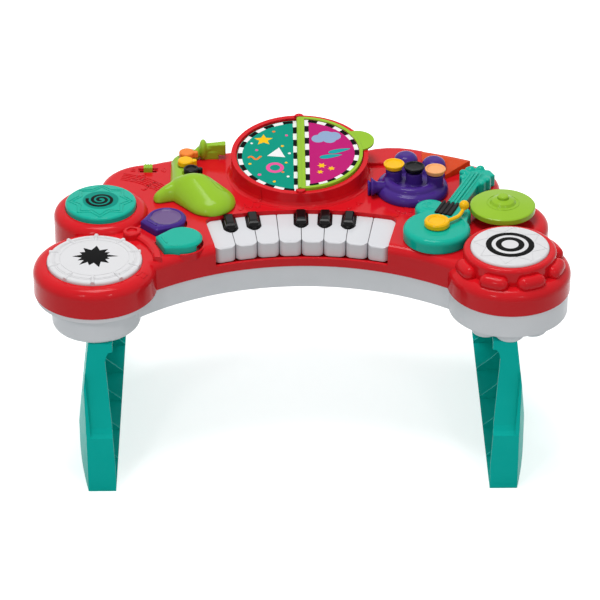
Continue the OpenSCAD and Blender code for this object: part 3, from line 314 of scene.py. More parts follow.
class Ground(Protocol):
    """A surface that a drawing is laid on."""

    def height(self, x: float, y: float) -> float:
        """Return the height in metres under a point."""


@dataclass(frozen=True)
class LevelGround:
    """A flat face at one height in millimetres."""

    z: float

    def height(self, x: float, y: float) -> float:
        """Return the height of the face in metres."""
        return self.z * MM


class MouldGround:
    """The upper surface of a moulded piece."""

    # A ray that meets the seam of two faces is tried again a little beside it
    tries = ((0.0, 0.0), (0.03, 0.01), (-0.02, 0.03), (0.01, -0.04))

    def __init__(self, piece: bpy.types.Object | str) -> None:
        """Take the piece as its modifiers leave it.

        Args:
            piece: the piece that carries the drawing, or its name.
        """
        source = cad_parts[piece] if isinstance(piece, str) else piece
        shaped = source.evaluated_get(bpy.context.evaluated_depsgraph_get())
        mesh = shaped.to_mesh()
        self.tree = BVHTree.FromPolygons(
            [source.matrix_world @ v.co for v in mesh.vertices], [list(p.vertices) for p in mesh.polygons]
        )
        shaped.to_mesh_clear()

    def height(self, x: float, y: float) -> float:
        """Find the top of the moulding.

        Args:
            x: place across, in metres.
            y: place in depth, in metres.

        Returns:
            Height of the first surface met from above.
        """
        for dx, dy in self.tries:
            hit = self.tree.ray_cast(Vector((x + dx * MM, y + dy * MM, 0.5)), Vector((0, 0, -1)))
            if hit[0]:
                return hit[0].z
        return self.tree.find_nearest(Vector((x, y, 0.5)))[0].z


@dataclass
class Drawing:
    """Flat shapes in millimetres that are later printed or embossed on a surface."""

    points: list[Point] = field(default_factory=list)
    faces: list[tuple[int, ...]] = field(default_factory=list)

    def polygon(self, loop: Sequence[Point], *holes: Sequence[Point]) -> "Drawing":
        """Add a filled outline.

        Args:
            loop: outline of the shape.
            holes: outlines of its holes.

        Returns:
            This drawing.
        """
        loops = [[Vector((p[0], p[1], 0)) for p in ring] for ring in (loop, *holes)]
        start = len(self.points)
        self.points += [(v.x, v.y) for ring in loops for v in ring]
        self.faces += [tuple(i + start for i in t) for t in tessellate_polygon(loops)]
        return self

    def ring(
        self, x: float, y: float, inner: float, outer: float, a0: float = 0, a1: float = 360
    ) -> "Drawing":
        """Add a ring or an arc of one.

        Args:
            x: centre across.
            y: centre in depth.
            inner: inner radius, 0 for a full disc.
            outer: outer radius.
            a0: first angle in degrees.
            a1: last angle in degrees.

        Returns:
            This drawing.
        """
        steps = max(6, int(abs(a1 - a0) * max(outer, 4) / 90))
        start = len(self.points)
        for i in range(steps + 1):
            a = math.radians(a0 + (a1 - a0) * i / steps)
            for r in (inner, outer):
                self.points.append(around(x, y, r, a))
        for i in range(steps):
            k = start + 2 * i
            self.faces.append((k, k + 1, k + 3, k + 2) if inner > 0 else (k, k + 1, k + 3))
        return self

    def stroke(self, line: Sequence[Point], width: float) -> "Drawing":
        """Add a line of even width with round ends.

        Args:
            line: its points.
            width: its width.

        Returns:
            This drawing.
        """
        start = len(self.points)
        for i, p in enumerate(line):
            a = line[max(i - 1, 0)]
            b = line[min(i + 1, len(line) - 1)]
            length = math.hypot(b[0] - a[0], b[1] - a[1]) or 1.0
            nx, ny = -(b[1] - a[1]) / length * width / 2, (b[0] - a[0]) / length * width / 2
            self.points += [(p[0] + nx, p[1] + ny), (p[0] - nx, p[1] - ny)]
        for i in range(len(line) - 1):
            k = start + 2 * i
            self.faces.append((k, k + 1, k + 3, k + 2))
        return self

    def star(self, x: float, y: float, outer: Sequence[float], inner: float, turn: float = 0) -> "Drawing":
        """Add a star.

        Args:
            x: centre across.
            y: centre in depth.
            outer: radius of each point.
            inner: radius between the points.
            turn: angle of the first point in degrees.

        Returns:
            This drawing.
        """
        loop: list[Point] = []
        for i, r in enumerate(outer):
            for k, radius in ((0, r), (0.5, inner)):
                loop.append(around(x, y, radius, math.radians(turn + 360 * (i + k) / len(outer))))
        return self.polygon(loop)

    def box(self, x0: float, y0: float, x1: float, y1: float) -> "Drawing":
        """Add the rectangle between two corners and return this drawing."""
        return self.polygon([(x0, y0), (x1, y0), (x1, y1), (x0, y1)])

    def note(self, x: float, y: float, size: float, lean: float = 0, paired: bool = False) -> "Drawing":
        """Add a music note with a flag, or two notes joined by a bar.

        Args:
            x: centre of its first head across.
            y: centre of its first head in depth.
            size: width of a head.
            lean: turn in degrees.
            paired: whether a second note follows.

        Returns:
            This drawing.
        """
        turn = Matrix.Rotation(math.radians(lean), 2)

        def at(px: float, py: float) -> Point:
            """Place a point given in head widths of the leaning note."""
            v = turn @ Vector((px * size, py * size))
            return x + v.x, y + v.y

        heads = ((0.0, 0.0), (1.7, 0.25)) if paired else ((0.0, 0.0),)
        stem, stem_w = (2.4, 0.18) if paired else (2.3, 0.2)
        for ox, oy in heads:
            head = [
                at(ox + 0.55 * math.cos(t) - 0.12 * math.sin(t), oy + 0.4 * math.sin(t) + 0.12 * math.cos(t))
                for t in (math.tau * i / 20 for i in range(20))
            ]
            self.polygon(head)
            self.stroke([at(ox + 0.46, oy), at(ox + 0.46, oy + stem)], size * stem_w)
        if paired:
            return self.stroke([at(0.38, 2.3), at(2.24, 2.55)], size * 0.42)
        return self.stroke([at(0.42, 2.3), at(0.9, 1.85), at(1.15, 1.3), at(1.05, 0.9)], size * 0.24)

    def stamp(
        self,
        name: str,
        finish: Finish,
        ground: Ground,
        body: str,
        height: float = 0.08,
        slot: str | None = None,
        place: Matrix | None = None,
        cell: float = 4.0,
        bevel: float = 0.0,
    ) -> bpy.types.Object:
        """Lay the drawing on a surface as a thin film of ink or a raised moulding.

        Args:
            name: name of the piece.
            finish: its finish.
            ground: the surface under it.
            body: the moving body that carries it.
            height: how far it stands proud, in millimetres.
            slot: material slot of the record; not used.
            place: frame of the drawing, if it isn't the table's own.
            cell: longest edge in millimetres, so that it follows a domed surface.
            bevel: rounding of its upper edges in millimetres.

        Returns:
            The new piece.
        """
        bm = bmesh.new()
        corners = [bm.verts.new((p[0], p[1], 0)) for p in self.points]
        for f in self.faces:
            if len({*f}) > 2:
                try:
                    bm.faces.new([corners[i] for i in f])
                except ValueError:
                    continue
        bmesh.ops.remove_doubles(bm, verts=bm.verts, dist=0.01)
        bmesh.ops.dissolve_degenerate(bm, edges=bm.edges, dist=0.001)
        for _ in range(6):
            long = [e for e in bm.edges if e.calc_length() > cell]
            if not long:
                break
            bmesh.ops.subdivide_edges(bm, edges=long, cuts=1)
            bmesh.ops.triangulate(bm, faces=[f for f in bm.faces if len(f.verts) > 4])
        bmesh.ops.recalc_face_normals(bm, faces=bm.faces)
        if sum(f.normal.z for f in bm.faces) < 0:
            bmesh.ops.reverse_faces(bm, faces=bm.faces)
        for v in bm.verts:
            x, y = v.co.x * MM, v.co.y * MM
            v.co = Vector((x, y, ground.height(x, y) - SINK_MM * MM))
        top = bmesh.ops.extrude_face_region(bm, geom=list(bm.faces))
        for v in (g for g in top["geom"] if isinstance(g, bmesh.types.BMVert)):
            v.co.z += (height + SINK_MM) * MM
        bmesh.ops.recalc_face_normals(bm, faces=bm.faces)
        if place:
            bmesh.ops.transform(bm, matrix=place, verts=bm.verts)
        return piece_from(bm, name, finish, body, bevel)


def put(name: str, data: bpy.types.ID) -> bpy.types.Object:
    """Put data into the scene as a new object.

    Args:
        name: name of the object.
        data: its mesh, camera or light.

    Returns:
        The object.
    """
    made = bpy.data.objects.new(name, data)
    bpy.context.scene.collection.objects.link(made)
    return made


def add_bevel(piece: bpy.types.Object, width_mm: float, angle: float, segments: int) -> bpy.types.Modifier:
    """Round the edges of a piece that turn by more than an angle.

    Args:
        piece: the piece.
        width_mm: width of the rounding.
        angle: the angle in degrees.
        segments: steps of the rounding.

    Returns:
        The modifier.
    """
    rounding = piece.modifiers.new("rounded edges", "BEVEL")
    rounding.width = width_mm * MM
    rounding.segments = segments
    rounding.limit_method = "ANGLE"
    rounding.angle_limit = math.radians(angle)
    return rounding


def piece_from(
    bm: BMesh,
    name: str,
    finish: Finish,
    body: str,
    bevel: float = 0.0,
    smooth: bool = False,
) -> bpy.types.Object:
    """Turn a working mesh into a piece that rides on a body.

    Args:
        bm: the mesh, in metres.
        name: name of the piece.
        finish: its finish.
        body: the body that carries it.
        bevel: rounding of its edges in millimetres.
        smooth: whether its faces are shaded smooth.

    Returns:
        The new piece.
    """
    mesh = bpy.data.meshes.new(name)
    bm.to_mesh(mesh)
    bm.free()
    if smooth:
        mesh.shade_smooth()
    piece = put(name, mesh)
    mesh.materials.append(finish.material())
    if bevel:
        add_bevel(piece, bevel, PRINT_CRISP_DEG, 2)
    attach(piece, body)
    return piece


def round_edges(width_mm: float, segments: int, *nodes: str) -> None:
    """Round the crisp edges of moulded pieces with modifiers.

    Args:
        width_mm: width of the rounding.
        segments: steps of the rounding.
        nodes: names of the pieces.
    """
    for name in nodes:
        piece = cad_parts[name]
        weld = piece.modifiers.new("joined corners", "WELD")
        weld.merge_threshold = 0.002 * MM
        flat = piece.modifiers.new("whole faces", "DECIMATE")
        flat.decimate_type = "DISSOLVE"
        flat.angle_limit = math.radians(FLAT_DEG)
        add_bevel(piece, width_mm, CRISP_DEG, segments).miter_outer = "MITER_ARC"


def soft_skin(voxel_mm: float, rounds: int, *pieces: bpy.types.Object | str) -> None:
    """Melt a piece's shapes into one flowing skin with modifiers.

    Args:
        voxel_mm: size of the new faces.
        rounds: how often the skin is relaxed.
        pieces: the pieces, or their names.
    """
    for piece in pieces:
        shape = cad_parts[piece] if isinstance(piece, str) else piece
        remesh = shape.modifiers.new("even skin", "REMESH")
        remesh.mode = "VOXEL"
        remesh.voxel_size = voxel_mm * MM
        remesh.use_smooth_shade = True
        smooth = shape.modifiers.new("flowing form", "SMOOTH")
        smooth.factor = 0.5
        smooth.iterations = rounds


def loft(sections: Sequence[Sequence[Vector]]) -> BMesh:
    """Stretch a closed skin over sections that have as many corners each.

    Args:
        sections: loops of points in millimetres.

    Returns:
        A closed mesh in metres.
    """
    bm = bmesh.new()
    rings = [[bm.verts.new(p * MM) for p in section] for section in sections]
    for low, high in zip(rings, rings[1:]):
        for k in range(len(low)):
            after = (k + 1) % len(low)
            bm.faces.new((low[k], low[after], high[after], high[k]))
    bm.faces.new(rings[0][::-1])
    bm.faces.new(rings[-1])
    bmesh.ops.recalc_face_normals(bm, faces=bm.faces)
    return bm


def turned(x: float, y: float, profile: Sequence[Point], sides: int = 72) -> BMesh:
    """Turn a profile about an upright axis.

    Args:
        x: place of the axis across, in millimetres.
        y: place of the axis in depth, in millimetres.
        profile: radius and height at each corner, in millimetres.
        sides: corners of the round.

    Returns:
        A closed mesh in metres.
    """
    turns = [math.tau * k / sides for k in range(sides)]
    return loft([[Vector((*around(x, y, r, t), z)) for t in turns] for r, z in profile])


def tube(path: Sequence[tuple[Sequence[float], float]]) -> BMesh:
    """Sweep a round section along a level path.

    Args:
        path: centre and radius of each section, in millimetres.

    Returns:
        A closed mesh in metres.
    """
    sections = []
    up = Vector((0, 0, 1))
    turns = [math.tau * k / TUBE_SIDES for k in range(TUBE_SIDES)]
    centres = [Vector(p) for p, _ in path]
    for i, (_, radius) in enumerate(path):
        across = (centres[min(i + 1, len(path) - 1)] - centres[max(i - 1, 0)]).normalized().cross(up)
        sections.append([centres[i] + radius * (across * math.cos(t) + up * math.sin(t)) for t in turns])
    return loft(sections)


def ball(bm: BMesh, centre: Sequence[float], radii: Sequence[float]) -> None:
    """Add a stretched ball to a working mesh.

    Args:
        bm: the mesh, in metres.
        centre: its centre in millimetres.
        radii: its half sizes in millimetres.
    """
    matrix = Matrix.Translation(Vector(centre) * MM) @ Matrix.Diagonal((*(r * MM for r in radii), 1))
    bmesh.ops.create_uvsphere(bm, u_segments=32, v_segments=20, radius=1.0, matrix=matrix)


def cut_away(bm: BMesh, point: Sequence[float], normal: Sequence[float]) -> None:
    """Cut off what lies beyond a plane and close the cut.

    Args:
        bm: a closed mesh in metres.
        point: a point of the plane in millimetres.
        normal: direction in which the mesh is cleared.
    """
    geom = [*bm.verts, *bm.edges, *bm.faces]
    plane = {"plane_co": Vector(point) * MM, "plane_no": Vector(normal)}
    bmesh.ops.bisect_plane(bm, geom=geom, clear_outer=True, **plane)
    bmesh.ops.holes_fill(bm, edges=[e for e in bm.edges if e.is_boundary])


def copy_of(node: str) -> BMesh:
    """Copy a moulded piece's mesh, with its corners joined.

    Args:
        node: name of the piece.

    Returns:
        A working mesh in metres.
    """
    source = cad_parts[node]
    bm = bmesh.new()
    bm.from_mesh(source.data)
    bm.transform(source.matrix_world)
    bmesh.ops.remove_doubles(bm, verts=bm.verts, dist=0.00001)
    return bm


def join(bm: BMesh, *parts: BMesh) -> None:
    """Add working meshes to another one and free them.

    Args:
        bm: the mesh that takes them.
        parts: the meshes.
    """
    for part in parts:
        carrier = bpy.data.meshes.new("part")
        part.to_mesh(carrier)
        part.free()
        bm.from_mesh(carrier)
        bpy.data.meshes.remove(carrier)


# ---------------------------------------------------------------- sub-assemblies


class Part:
    """A sub-assembly, with the moulded pieces that each finish goes to."""

    finishes: dict[Finish, tuple[str, ...]] = {}

    def build(self) -> None:
        """Add nothing, unless the sub-assembly has pieces of its own."""

    def dress(self) -> None:
        """Give the moulded pieces their finishes."""
        for finish, nodes in self.finishes.items():
            for name in nodes:
                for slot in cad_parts[name].material_slots:
                    slot.link = "OBJECT"
                    slot.material = finish.material()
                log.info("dressed %s in %s", name, finish.name)


@dataclass
class TopShell(Part):
    """Red crescent deck with its raised decoration."""

    finishes = {RED: ("top_shell",)}
    staff_centre: Point = (-228.0, 5.0)
    staff_radii: tuple[float, ...] = (80.0, 83.6, 87.2, 90.8, 94.4)
    switch: Point = (-177.0, 104.0)
    relief_mm: float = 0.6
    deck_z: float = 262.0
    swell_edge: tuple[Point, ...] = (
        (72, 141), (80, 146.5), (90, 150.5), (104, 152.8),
        (118, 152.4), (131, 149.6), (144, 144.6), (152, 139.5),
    )  # fmt: skip
    swell_front: float = 112.0
    swell_skin: tuple[float, int] = (0.9, 6)
    wave_radii: Triple = (3.0, 5.5, 8.0)
    wave_x: float = 12.5
    target_x: float = -17.5
    # Inset from the edge, and height over the deck, of each level of the swell
    swell_levels: tuple[Point, ...] = ((9, -16), (1.5, -7), (0, -2), (0.6, 1.2), (2.6, 3.0), (5.5, 3.5))

    def build(self) -> None:
        """Emboss the deck and shape the low swell of its rear edge behind the horn."""
        staff, waves = Drawing(), Drawing()
        for r in self.staff_radii:
            staff.ring(*self.staff_centre, r - 0.7, r + 0.7, 39, 76)
        staff.note(-194, 80, 5.6, -8, paired=True).note(-181, 59, 5.4, -24)
        staff.note(-177, 66, 4.6, -30, paired=True)
        x, y = self.switch
        for r in self.wave_radii:
            waves.ring(x + self.wave_x, y, r - 0.45, r + 0.45, -42, 42)
        waves.ring(x + self.target_x, y, 2.2, 3.1).ring(x + self.target_x, y, 0, 0.8)
        ground = MouldGround("top_shell")
        for name, drawing in {
            "deck_staff": staff,
            "deck_notes_keys": Drawing().note(-69, 10, 5.6, -8).note(-58, 15, 5.2, -6, paired=True),
            "deck_notes_guitar": Drawing().note(108, -8, 5.6, 10).note(117, -1, 4.8, 8, paired=True),
            "deck_stars": Drawing().star(55, 11, (3.6,) * 5, 1.6, 90).star(67, 22, (4.2,) * 5, 1.9, 70),
            "deck_note_drum": Drawing().note(-182.7, -135.2, 3.6, -28, paired=True),
            "deck_note_back": Drawing().note(88, 138, 4.0, 14).note(98, 141, 3.4, -6),
            "deck_volume_marks": waves,
        }.items():
            drawing.stamp(name, RED, ground, "table", self.relief_mm, "red_shell", bevel=0.35)
        front = [(self.swell_edge[k][0], self.swell_front) for k in (-1, 0)]
        levels = []
        for inset, z in self.swell_levels:
            edge = [(x, y - inset) for x, y in self.swell_edge]
            levels.append([Vector((x, y, self.deck_z + z)) for x, y in (*edge, *front)])
        swell = piece_from(loft(levels), "deck_rear_swell", RED, "table", smooth=True)
        soft_skin(*self.swell_skin, swell)


@dataclass
class Base(Part):
    """Pale tray, its battery door and the two leg panels."""

    finishes = {
        TRAY_GREY: ("base_tray", "battery_door"),
        LEG_TEAL: ("leg_left", "leg_right"),
        STEEL: ("battery_screw", "shell_screws"),
    }


@dataclass
class BigDrum(Part):
    """White drum pad with a printed burst, turned lines and ribs near its edge."""

    finishes = {PAD_WHITE: ("drum_pad",)}
    x: float = -231.0
    y: float = -105.0
    line_radii: tuple[float, ...] = (38.6, 44.4, 46.4)
    line_w: float = 0.8
    # Angle and reach of each point of the burst
    points: tuple[Point, ...] = (
        (2, 27), (27, 19), (48, 22), (86, 24), (124, 23), (152, 19), (178, 25), (205, 20),
        (228, 24), (255, 20), (285, 24), (320, 22), (343, 18),
    )  # fmt: skip
    valley: float = 14.2
    rib_count: int = 10
    rib_start: float = 18.0
    # Distance from the middle, height and half width along a rib
    rib: tuple[Triple, ...] = (
        (37.6, 265.6, 0.3), (38.1, 265.6, 1.2), (39.2, 265.6, 1.9), (41.0, 265.6, 2.2), (45.0, 265.5, 2.2),
        (47.2, 264.9, 2.0), (48.6, 264.0, 1.3), (49.1, 263.6, 0.3),
    )  # fmt: skip

    def build(self) -> None:
        """Print the burst and raise the lines and ribs round it."""
        ground = MouldGround("drum_pad")
        loop: list[Point] = []
        following = (*self.points[1:], (self.points[0][0] + 360, 0))
        for (a, r), (after, _) in zip(self.points, following):
            for angle, radius in ((a, r), ((a + after) / 2, self.valley)):
                loop.append(around(self.x, self.y, radius, math.radians(angle)))
        Drawing().polygon(loop).stamp("drum_burst_print", INK_BLACK, ground, "drum")
        lines = Drawing()
        for r in self.line_radii:
            lines.ring(self.x, self.y, r - self.line_w / 2, r + self.line_w / 2)
        lines.stamp("drum_lines", PAD_WHITE, ground, "drum", 0.3, "pad_white", bevel=0.12)
        for i in range(self.rib_count):
            t = math.radians(self.rib_start + 360 / self.rib_count * i)
            rib = tube([((*around(self.x, self.y, r, t), z), radius) for r, z, radius in self.rib])
            piece_from(rib, f"drum_tuning_rib_{i + 1}", PAD_WHITE, "drum", smooth=True)


@dataclass
class SmallDrum(Part):
    """Turquoise drum pad with a spiral and a raised zigzag."""

    finishes = {TEAL: ("small_drum_pad",)}
    x: float = -228.0
    y: float = 5.0
    disc_r: float = 20.5
    turns: float = 2.35
    steps: int = 120
    spiral_r: float = 1.6
    spiral_growth: float = 14.2
    spiral_lag: float = 1.2
    line_w: float = 3.7
    zigzags: tuple[Point, ...] = ((36.5, 28.0), (32.0, 23.5))
    zigzag_w: float = 1.3

    def build(self) -> None:
        """Print the spiral and raise the zigzag."""
        ground = MouldGround("small_drum_pad")
        disc = Drawing().ring(self.x, self.y, 0, self.disc_r)
        disc.stamp("small_drum_disc_print", INK_DEEP_TEAL, ground, "small_drum", 0.05)
        ways = [i / self.steps for i in range(self.steps + 1)]
        line = []
        for t in ways:
            angle = -math.tau * self.turns * t - self.spiral_lag
            line.append(around(self.x, self.y, self.spiral_r + self.spiral_growth * t, angle))
        spiral = Drawing().stroke(line, self.line_w)
        spiral.stamp("small_drum_spiral_print", INK_BLACK, ground, "small_drum", 0.1)
        rays = Drawing()
        for radii in self.zigzags:
            loop = [around(self.x, self.y, radii[i % 2], math.tau * i / 16) for i in range(16)]
            rays.stroke([*loop, loop[0], loop[1]], self.zigzag_w)
        rays.stamp("small_drum_zigzag", TEAL, ground, "small_drum", 0.55, "teal_gloss", bevel=0.25)


@dataclass
class Tambourine(Part):
    """White pad in a red ring with jingle bulges."""

    finishes = {PAD_WHITE: ("tambourine_pad",)}
    x: float = 231.0
    y: float = -105.0
    rings: tuple[Point, ...] = ((20.5, 27.0), (9.5, 16.0))
    ray_count: int = 8
    ray_radii: Point = (28.0, 41.0)
    ray_start: float = 0.2
    ray_w: float = 0.5
    bulge_turns: tuple[float, ...] = (22.5, 67.5, 112.5, 202.5, 247.5, 292.5, 337.5)
    bulge_ring_r: float = 54.0
    bulge_z: float = 260.0
    bulge_r: float = 8.8
    bulge_half: float = 8.5

    def build(self) -> None:
        """Print the target, raise the fine rays round it and shape the bean-like bulges."""
        ground = MouldGround("tambourine_pad")
        target, lines = Drawing(), Drawing()
        for inner, outer in self.rings:
            target.ring(self.x, self.y, inner, outer)
        target.stamp("tambourine_target_print", INK_BLACK, ground, "tambourine")
        low, high = self.ray_radii
        for i in range(self.ray_count):
            a = math.tau * i / self.ray_count + self.ray_start
            ends = ((low, a), (high, a + math.pi / self.ray_count), (low, a + math.tau / self.ray_count))
            lines.stroke([around(self.x, self.y, r, t) for r, t in ends], self.ray_w)
        lines.stamp("tambourine_ray_lines", PAD_WHITE, ground, "tambourine", 0.3, "pad_white", bevel=0.1)
        cap = math.degrees(self.bulge_r / self.bulge_ring_r)
        for i, turn in enumerate(self.bulge_turns, start=1):
            path = []
            for k in range(25):
                a = (self.bulge_half + cap * 0.999) * (k / 12 - 1)
                past = max(0.0, abs(a) - self.bulge_half) / cap
                place = around(self.x, self.y, self.bulge_ring_r, math.radians(turn + a))
                path.append(((*place, self.bulge_z), self.bulge_r * math.sqrt(1 - past**2)))
            piece_from(tube(path), f"jingle_bulge_{i}", RED, "table", smooth=True)


@dataclass
class Cymbal(Part):
    """Lime cymbal with a turned ridge round its dome."""

    finishes = {LIME: ("cymbal",)}
    x: float = 229.0
    y: float = -15.0
    ridge_r: float = 18.0
    ridge_w: float = 1.4

    def build(self) -> None:
        """Raise the ridge."""
        inner, outer = self.ridge_r - self.ridge_w / 2, self.ridge_r + self.ridge_w / 2
        ridge, ground = Drawing().ring(self.x, self.y, inner, outer), MouldGround("cymbal")
        ridge.stamp("cymbal_ridge", LIME, ground, "cymbal_body", 0.4, "lime", cell=2.0, bevel=0.25)


@dataclass
class Castanets(Part):
    """Two hinged clappers, one with a milky dish."""

    finishes = {PURPLE: ("castanet_purple",), TEAL: ("castanet_teal",), STEEL: ("castanet_pins",)}
    hinge: Point = (-173.0, -40.0)
    turn: float = 42.0
    bulb: float = 27.0
    dish_r: float = 17.0
    dish_span: float = 224.0
    skin: tuple[float, int] = (0.9, 14)
    dish_foot: Point = (9.5, 8.0)
    teal_hinge: Point = (-159.0, -77.0)
    teal_turn: float = 22.5
    bank: tuple[float, ...] = (-134.1, -66.7, 23.5, 26.2, -95, 34)
    bank_z: float = 253.0
    bank_h: float = 9.3
    bar: tuple[Point, ...] = ((4.4, -8.0), (6.6, -8.0), (6.6, 8.0), (4.4, 8.0))

    def build(self) -> None:
        """Round the clappers, lay the drop-shaped pane in the dish and raise bank and bars."""
        soft_skin(*self.skin, "castanet_purple", "castanet_teal")
        foot, half = self.dish_foot
        turns = [math.radians(-self.dish_span / 2 + self.dish_span * i / 40) for i in range(41)]
        arc = [around(self.bulb, 0, self.dish_r, t) for t in turns]
        loop = [swung(x, y, self.hinge, self.turn) for x, y in ((foot, -half), *arc, (foot, half))]
        pane, ground = Drawing().polygon(loop), MouldGround("castanet_purple")
        pane.stamp("castanet_purple_dish", DISH, ground, "castanet_purple_body", 0.3, cell=1.5)
        bank, level = Drawing().ring(*self.bank), LevelGround(self.bank_z)
        bank.stamp("castanet_bank", RED, level, "table", self.bank_h, "red_shell", bevel=0.6)
        for name, finish, hinge, turn in (
            ("castanet_purple", PURPLE, self.hinge, self.turn),
            ("castanet_teal", TEAL, self.teal_hinge, self.teal_turn),
        ):
            bar = Drawing().polygon([swung(x, y, hinge, turn) for x, y in self.bar])
            ground = MouldGround(name)
            bar.stamp(f"{name}_bar", finish, ground, f"{name}_body", 0.7, cell=2.0, bevel=0.5)


@dataclass
class Keyboard(Part):
    """Curved fan of piano keys."""

    white_keys = tuple(f"white_key_{k}" for k in range(1, 9))
    white_round: float = 0.9
    black_round: float = 1.1
    finishes = {
        KEY_WHITE: white_keys,
        BLACK: ("black_keys",),
        INNER: ("key_rail",),
        STEEL: ("key_pins",),
        SILICONE: ("key_domes", "pad_domes"),
    }

    def build(self) -> None:
        """Round the edges of the keys."""
        round_edges(self.white_round, 3, *self.white_keys)
        round_edges(self.black_round, 4, "black_keys")


@dataclass(frozen=True)
class Face:
    """One printed half-round face of the book.

    The side is -1 for the left half and 1 for the right, and the edge is the
    distance of its straight side from the spine.
    """

    name: str
    side: int
    radius: float
    edge: float
    top: float
    body: str
    place: Matrix
    arc_blocks: int = 17
    bar_blocks: int = 11

    def print(self, name: str, ink: PadInk, drawing: Drawing, height: float = 0.08) -> None:
        """Print a drawing on the face.

        Args:
            name: name of the piece, without that of the face.
            ink: its ink.
            drawing: the drawing.
            height: thickness of the film in millimetres.
        """
        ground = LevelGround(self.top)
        drawing.stamp(f"{self.name}_{name}_print", ink, ground, self.body, height, place=self.place)

    def border(self, wide: float) -> None:
        """Print the blocked border.

        Args:
            wide: its width in millimetres.
        """
        slim, outer = wide - 0.6, self.radius - 0.3
        a = math.degrees(math.acos((self.edge + slim) / self.radius))
        start = 180 - a if self.side < 0 else -a
        end = start + 2 * a
        half = math.sqrt(self.radius**2 - (self.edge + slim) ** 2) - 0.3
        x0, x1 = sorted((self.side * self.edge, self.side * (self.edge + slim)))
        white, dark = Drawing(), Drawing()
        white.ring(0, 0, self.radius - wide, outer, start, end).box(x0, -half, x1, half)
        self.print("border", INK_WHITE, white, 0.04)
        step = (end - start) / self.arc_blocks
        for i in range(0, self.arc_blocks, 2):
            dark.ring(0, 0, self.radius - wide, outer, start + step * i, start + step * (i + 1))
        step = (half + half) / self.bar_blocks
        for i in range(1, self.bar_blocks, 2):
            dark.box(x0, -half + step * i, x1, -half + step * (i + 1))
        self.print("block", INK_BLACK, dark)


def cloud(x: float, y: float, puffs: Sequence[Triple]) -> list[Point]:
    """Draw the outline of a cloud.

    Args:
        x: centre across.
        y: centre in depth.
        puffs: place about the centre and radius of each round puff.

    Returns:
        The outline.
    """
    loop: list[Point] = []
    for i in range(96):
        ux, uy = math.cos(math.tau * i / 96), math.sin(math.tau * i / 96)
        reach = 0.0
        for px, py, radius in puffs:
            along, aside = px * ux + py * uy, py * ux - px * uy
            if abs(aside) < radius:
                reach = max(reach, along + math.sqrt(radius**2 - aside**2))
        loop.append((x + reach * ux, y + reach * uy))
    return loop


def leaf(x: float, y: float, turn: float) -> list[Point]:
    """Draw the outline of a leaf.

    Args:
        x: centre across.
        y: centre in depth.
        turn: its turn in degrees.

    Returns:
        The outline.
    """
    turns = [math.tau * i / 24 for i in range(24)]
    half = [(13.5 * math.cos(a), 3.6 * math.sin(a) * (1 - 0.45 * math.cos(a))) for a in turns]
    return [swung(px, py, (x, y), turn) for px, py in half]


